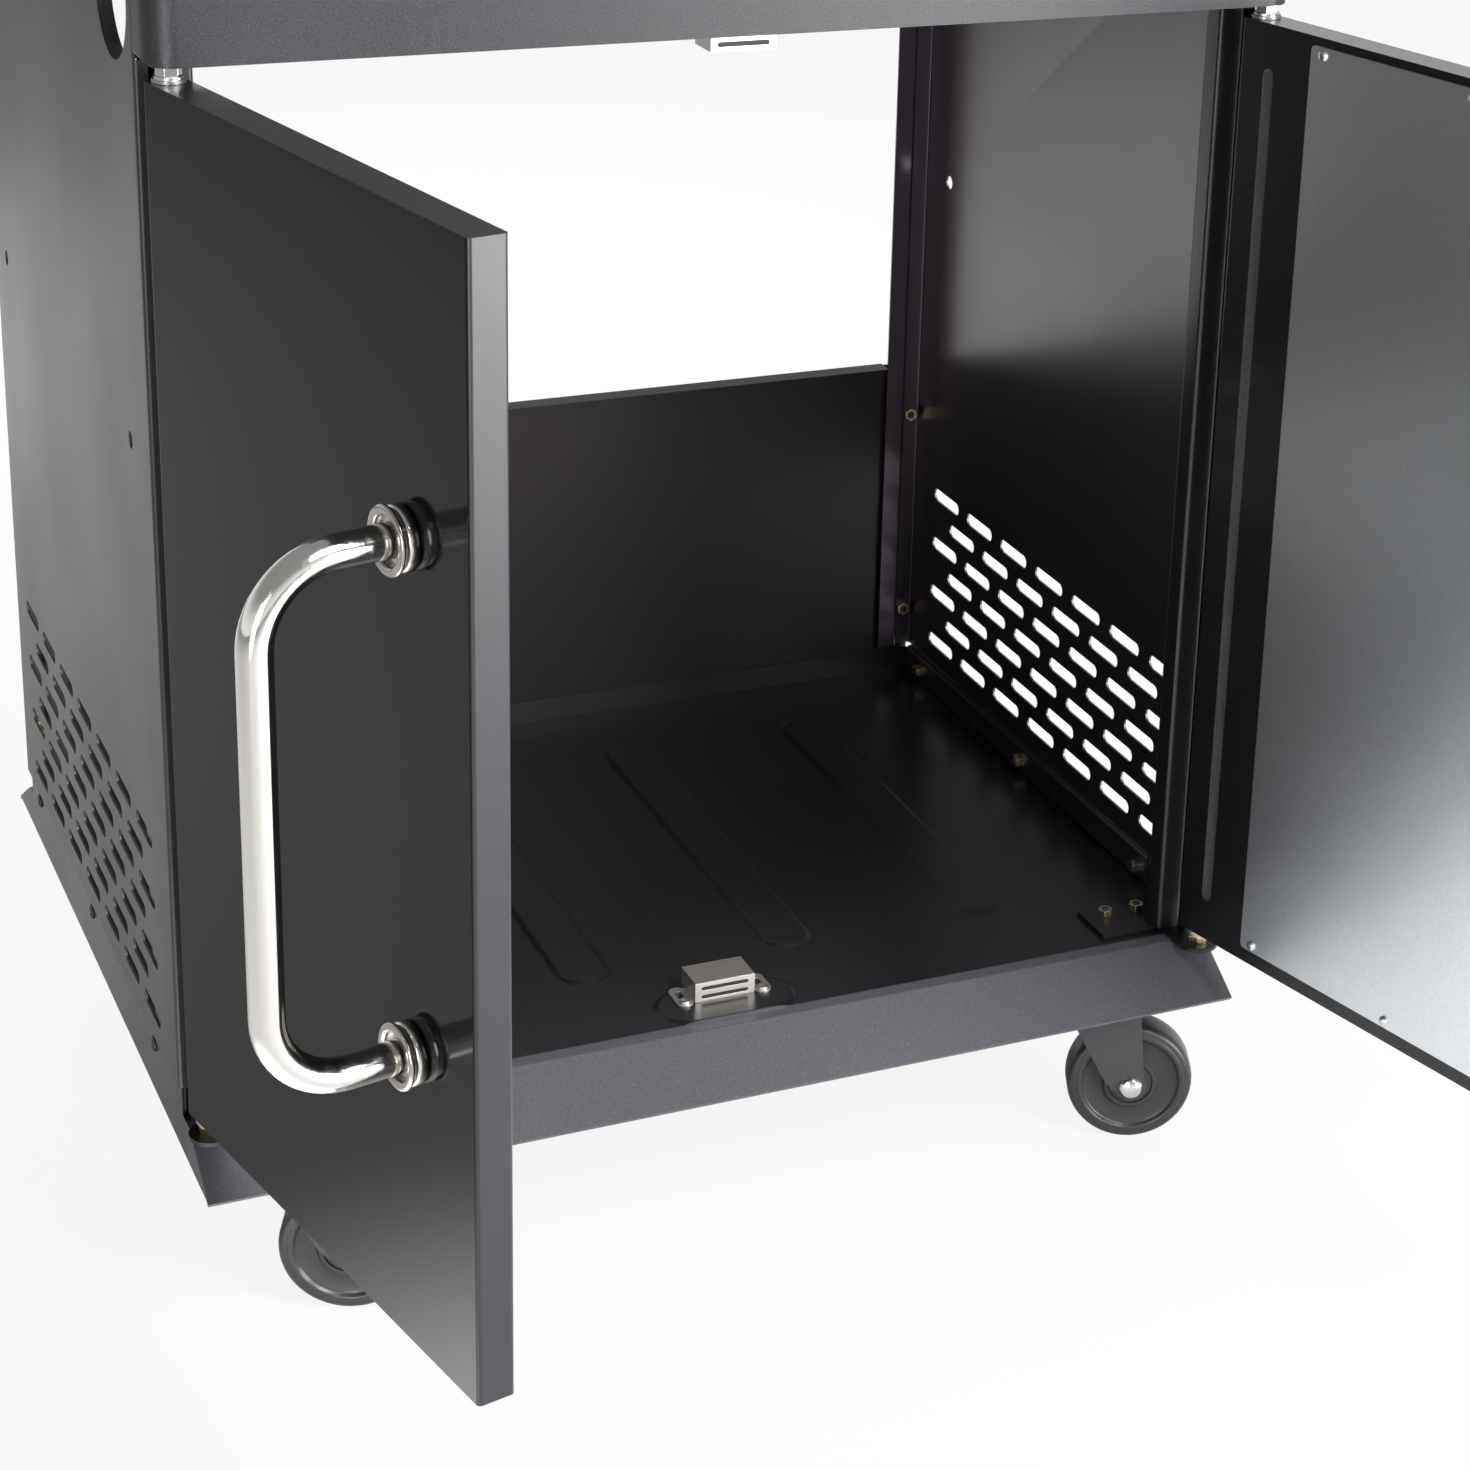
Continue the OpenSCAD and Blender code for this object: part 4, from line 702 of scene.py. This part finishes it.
for side, x in handle_from_hinge.items():
    piece = handle_tube(side, x, at_door[side])
    co = [v.co for v in piece.data.vertices]
    low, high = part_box("handle_" + side)
    print(piece.name, "x", round(min(c.x for c in co) - low.x, 5), round(max(c.x for c in co) - high.x, 5),
          "z", round(min(c.z for c in co) - low.z, 5), round(max(c.z for c in co) - high.z, 5))

# %% [markdown]
# Where a leg meets the door, the picture shows a turned fitting: a polished
# base, a groove, and a plump front ring with a recess round the tube. Both
# parts are sections spun round the leg.

# %% Turned fittings at the legs
base_low, base_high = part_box("handle_left_bases")
base_radius = (base_high.z - base_low.z - (upper_leg - lower_leg)) / 2
ring_section = [
    (0.0081, 0.00605), (0.0137, 0.00605), (0.0140, 0.0070), (0.0150, 0.0073), (0.0157, 0.0077), (0.0160, 0.0083),
    (0.0159, 0.0090), (0.0154, 0.0096), (0.0146, 0.0099), (0.0138, 0.0100), (0.0130, 0.0099), (0.0122, 0.0096),
    (0.0117, 0.0091), (0.0114, 0.0084), (0.0113, 0.0066), (0.0081, 0.0066),
]
base_section = [
    (0.0081, 0.00002), (0.0140, 0.00002), (base_radius - 0.0005, 0.0004), (base_radius, 0.0012),
    (base_radius, 0.0044), (base_radius - 0.0004, 0.0052), (0.0139, 0.0056), (0.0081, 0.0060),
]


def turned_pair(section, x, place):
    both = bmesh.new()
    for leg in (upper_leg, lower_leg):
        one = spun(section, steps=96)
        turn = Matrix.Translation((x, door_face, leg)) @ Matrix.Rotation(quarter, 4, "X")
        bmesh.ops.transform(one, matrix=place @ turn, verts=one.verts)
        bmesh.ops.recalc_face_normals(one, faces=one.faces)
        mesh = bpy.data.meshes.new("turned")
        one.to_mesh(mesh)
        one.free()
        both.from_mesh(mesh)
        bpy.data.meshes.remove(mesh)
    return both


for side, x in handle_from_hinge.items():
    put(turned_pair(ring_section, x, at_door[side]), "leg_rings_" + side, "door_" + side, "handle_ring_stainless",
        ["handle_" + side + "_rings"], smooth=42)
    put(turned_pair(base_section, x, at_door[side]), "leg_bases_" + side, "door_" + side, "handle_base_stainless",
        ["handle_" + side + "_bases"], smooth=42)
print("base radius", round(base_radius, 5))

# %% [markdown]
# ## Turned and drawn pieces
#
# Pins, nuts, the bowl and the tap are round, so their copies are shaded smooth
# and only get a fine rim. A width of 0 gives no rim: those pieces have their
# bends in the solid already.

# %% Smooth the round pieces
round_pieces = {
    "sink_bowl": 0.0, "strainer_body": 0.0003, "strainer_grid": 0.0002,
    "strainer_nut": 0.0005, "tailpiece": 0.0004, "tap_body": 0.0006, "tap_spout": 0.0004, "tap_lever": 0.0006,
    "hinge_pins": 0.0003, "door_left_bushes": 0.0002, "door_right_bushes": 0.0002, "frame_nuts": 0.0002,
    "frame_screws": 0.0002, "caster_plates": 0.0004, "fork_fl": 0.0004, "fork_fr": 0.0004, "fork_rl": 0.0004,
    "fork_rr": 0.0004, "axle_fl": 0.0002, "axle_fr": 0.0002, "axle_rl": 0.0002, "axle_rr": 0.0002,
    "side_panel_left": 0.0, "side_panel_right": 0.0, "front_post_left": 0.0, "front_post_right": 0.0,
    "hinge_brackets_lower": 0.0003, "hinge_brackets_upper": 0.0003, "caster_channels": 0.0003,
}
for name, width in round_pieces.items():
    if width:
        soft_edged(name, width)
    else:
        put(merged(name), name + "_shown", body_of[name], slot_of[name], [name])
print("smoothed", len(round_pieces))

# %% [markdown]
# The screws in the ears of the catches are bright zinc, the others are black.

# %% Bright catch screws
catch_middle, catch_reach = 0.007, 0.035
catch_front, catch_rear = -0.2, -0.18
screws = bpy.data.objects["frame_screws_shown"].data
screws.materials.append(finishes["small_screw_steel"])
for face in screws.polygons:
    if abs(face.center.x - catch_middle) < catch_reach and catch_front < face.center.y < catch_rear:
        face.material_index = 1
print("bright faces", sum(face.material_index for face in screws.polygons))

# %% [markdown]
# ## Floor and backdrop
#
# The cabinet stands on a pale floor that runs out of the picture. The camera
# sees it nearly white, with a faint shadow under the cabinet, and the lamps
# still light it, so shiny pieces mirror a floor that fades with distance. One
# patch of it, beside the left door, is brighter for mirrored rays only: it
# gives the pale foot of the door's face.

# %% Floor
floor_reach = 12.0
floor_shape = bmesh.new()
bmesh.ops.create_grid(floor_shape, x_segments=1, y_segments=1, size=floor_reach)
floor_mesh = bpy.data.meshes.new("floor")
floor_shape.to_mesh(floor_mesh)
floor_shape.free()
floor = bpy.data.objects.new("floor", floor_mesh)
scene.collection.objects.link(floor)
floor_finish = bpy.data.materials.new("floor_pale")
floor_finish.use_nodes = True
ft = floor_finish.node_tree
floor_shader = ft.nodes["Principled BSDF"]
floor_shader.inputs["Base Color"].default_value = (0.9, 0.9, 0.9, 1)
floor_shader.inputs["Roughness"].default_value = 0.9
floor_shader.inputs["Specular IOR Level"].default_value = 0.0
floor_white = add(ft, "ShaderNodeEmission", {"Color": (0.985, 0.985, 0.985, 1)})
looking, glossy = looking_rays(ft)
print("floor", 2 * floor_reach, "metres wide")

# %% Bright patch for mirrored rays
patch_middle, patch_start, patch_end = (-0.40, -0.45, 0.0), 0.03, 0.38
spot = add(ft, "ShaderNodeTexCoord")
from_spot = add(ft, "ShaderNodeVectorMath", operation="DISTANCE")
from_spot.inputs[1].default_value = patch_middle
ft.links.new(spot.outputs["Object"], from_spot.inputs[0])


def fading(middle, outside):
    """A value that goes from the middle of the patch to the floor outside it."""
    fade = add(ft, "ShaderNodeMapRange", {"From Min": patch_start, "From Max": patch_end, "To Min": middle,
                                          "To Max": outside}, interpolation_type="SMOOTHSTEP")
    ft.links.new(from_spot.outputs["Value"], fade.inputs["Value"])
    return fade.outputs["Result"]


some_glossy = add(ft, "ShaderNodeMath", operation="MULTIPLY")
ft.links.new(glossy, some_glossy.inputs[0])
ft.links.new(fading(middle=0.75, outside=0.08), some_glossy.inputs[1])
glow = add(ft, "ShaderNodeMix", {"A": 1.0})
ft.links.new(glossy, glow.inputs["Factor"])
ft.links.new(fading(middle=7.0, outside=1.0), glow.inputs["B"])
ft.links.new(glow.outputs["Result"], floor_white.inputs["Strength"])
print("patch reaches", patch_end, "from", patch_middle)

# %% Mix of lit and white floor
either = add(ft, "ShaderNodeMath", operation="MAXIMUM")
ft.links.new(looking, either.inputs[0])
ft.links.new(some_glossy.outputs[0], either.inputs[1])
white_share = add(ft, "ShaderNodeMath", operation="MULTIPLY")
white_share.inputs[1].default_value = 0.9
ft.links.new(either.outputs[0], white_share.inputs[0])
floor_pick = add(ft, "ShaderNodeMixShader")
ft.links.new(white_share.outputs[0], floor_pick.inputs["Fac"])
ft.links.new(floor_shader.outputs[0], floor_pick.inputs[1])
ft.links.new(floor_white.outputs[0], floor_pick.inputs[2])
ft.links.new(floor_pick.outputs[0], ft.nodes["Material Output"].inputs["Surface"])
floor_mesh.materials.append(floor_finish)
print("floor material", len(ft.nodes), "nodes")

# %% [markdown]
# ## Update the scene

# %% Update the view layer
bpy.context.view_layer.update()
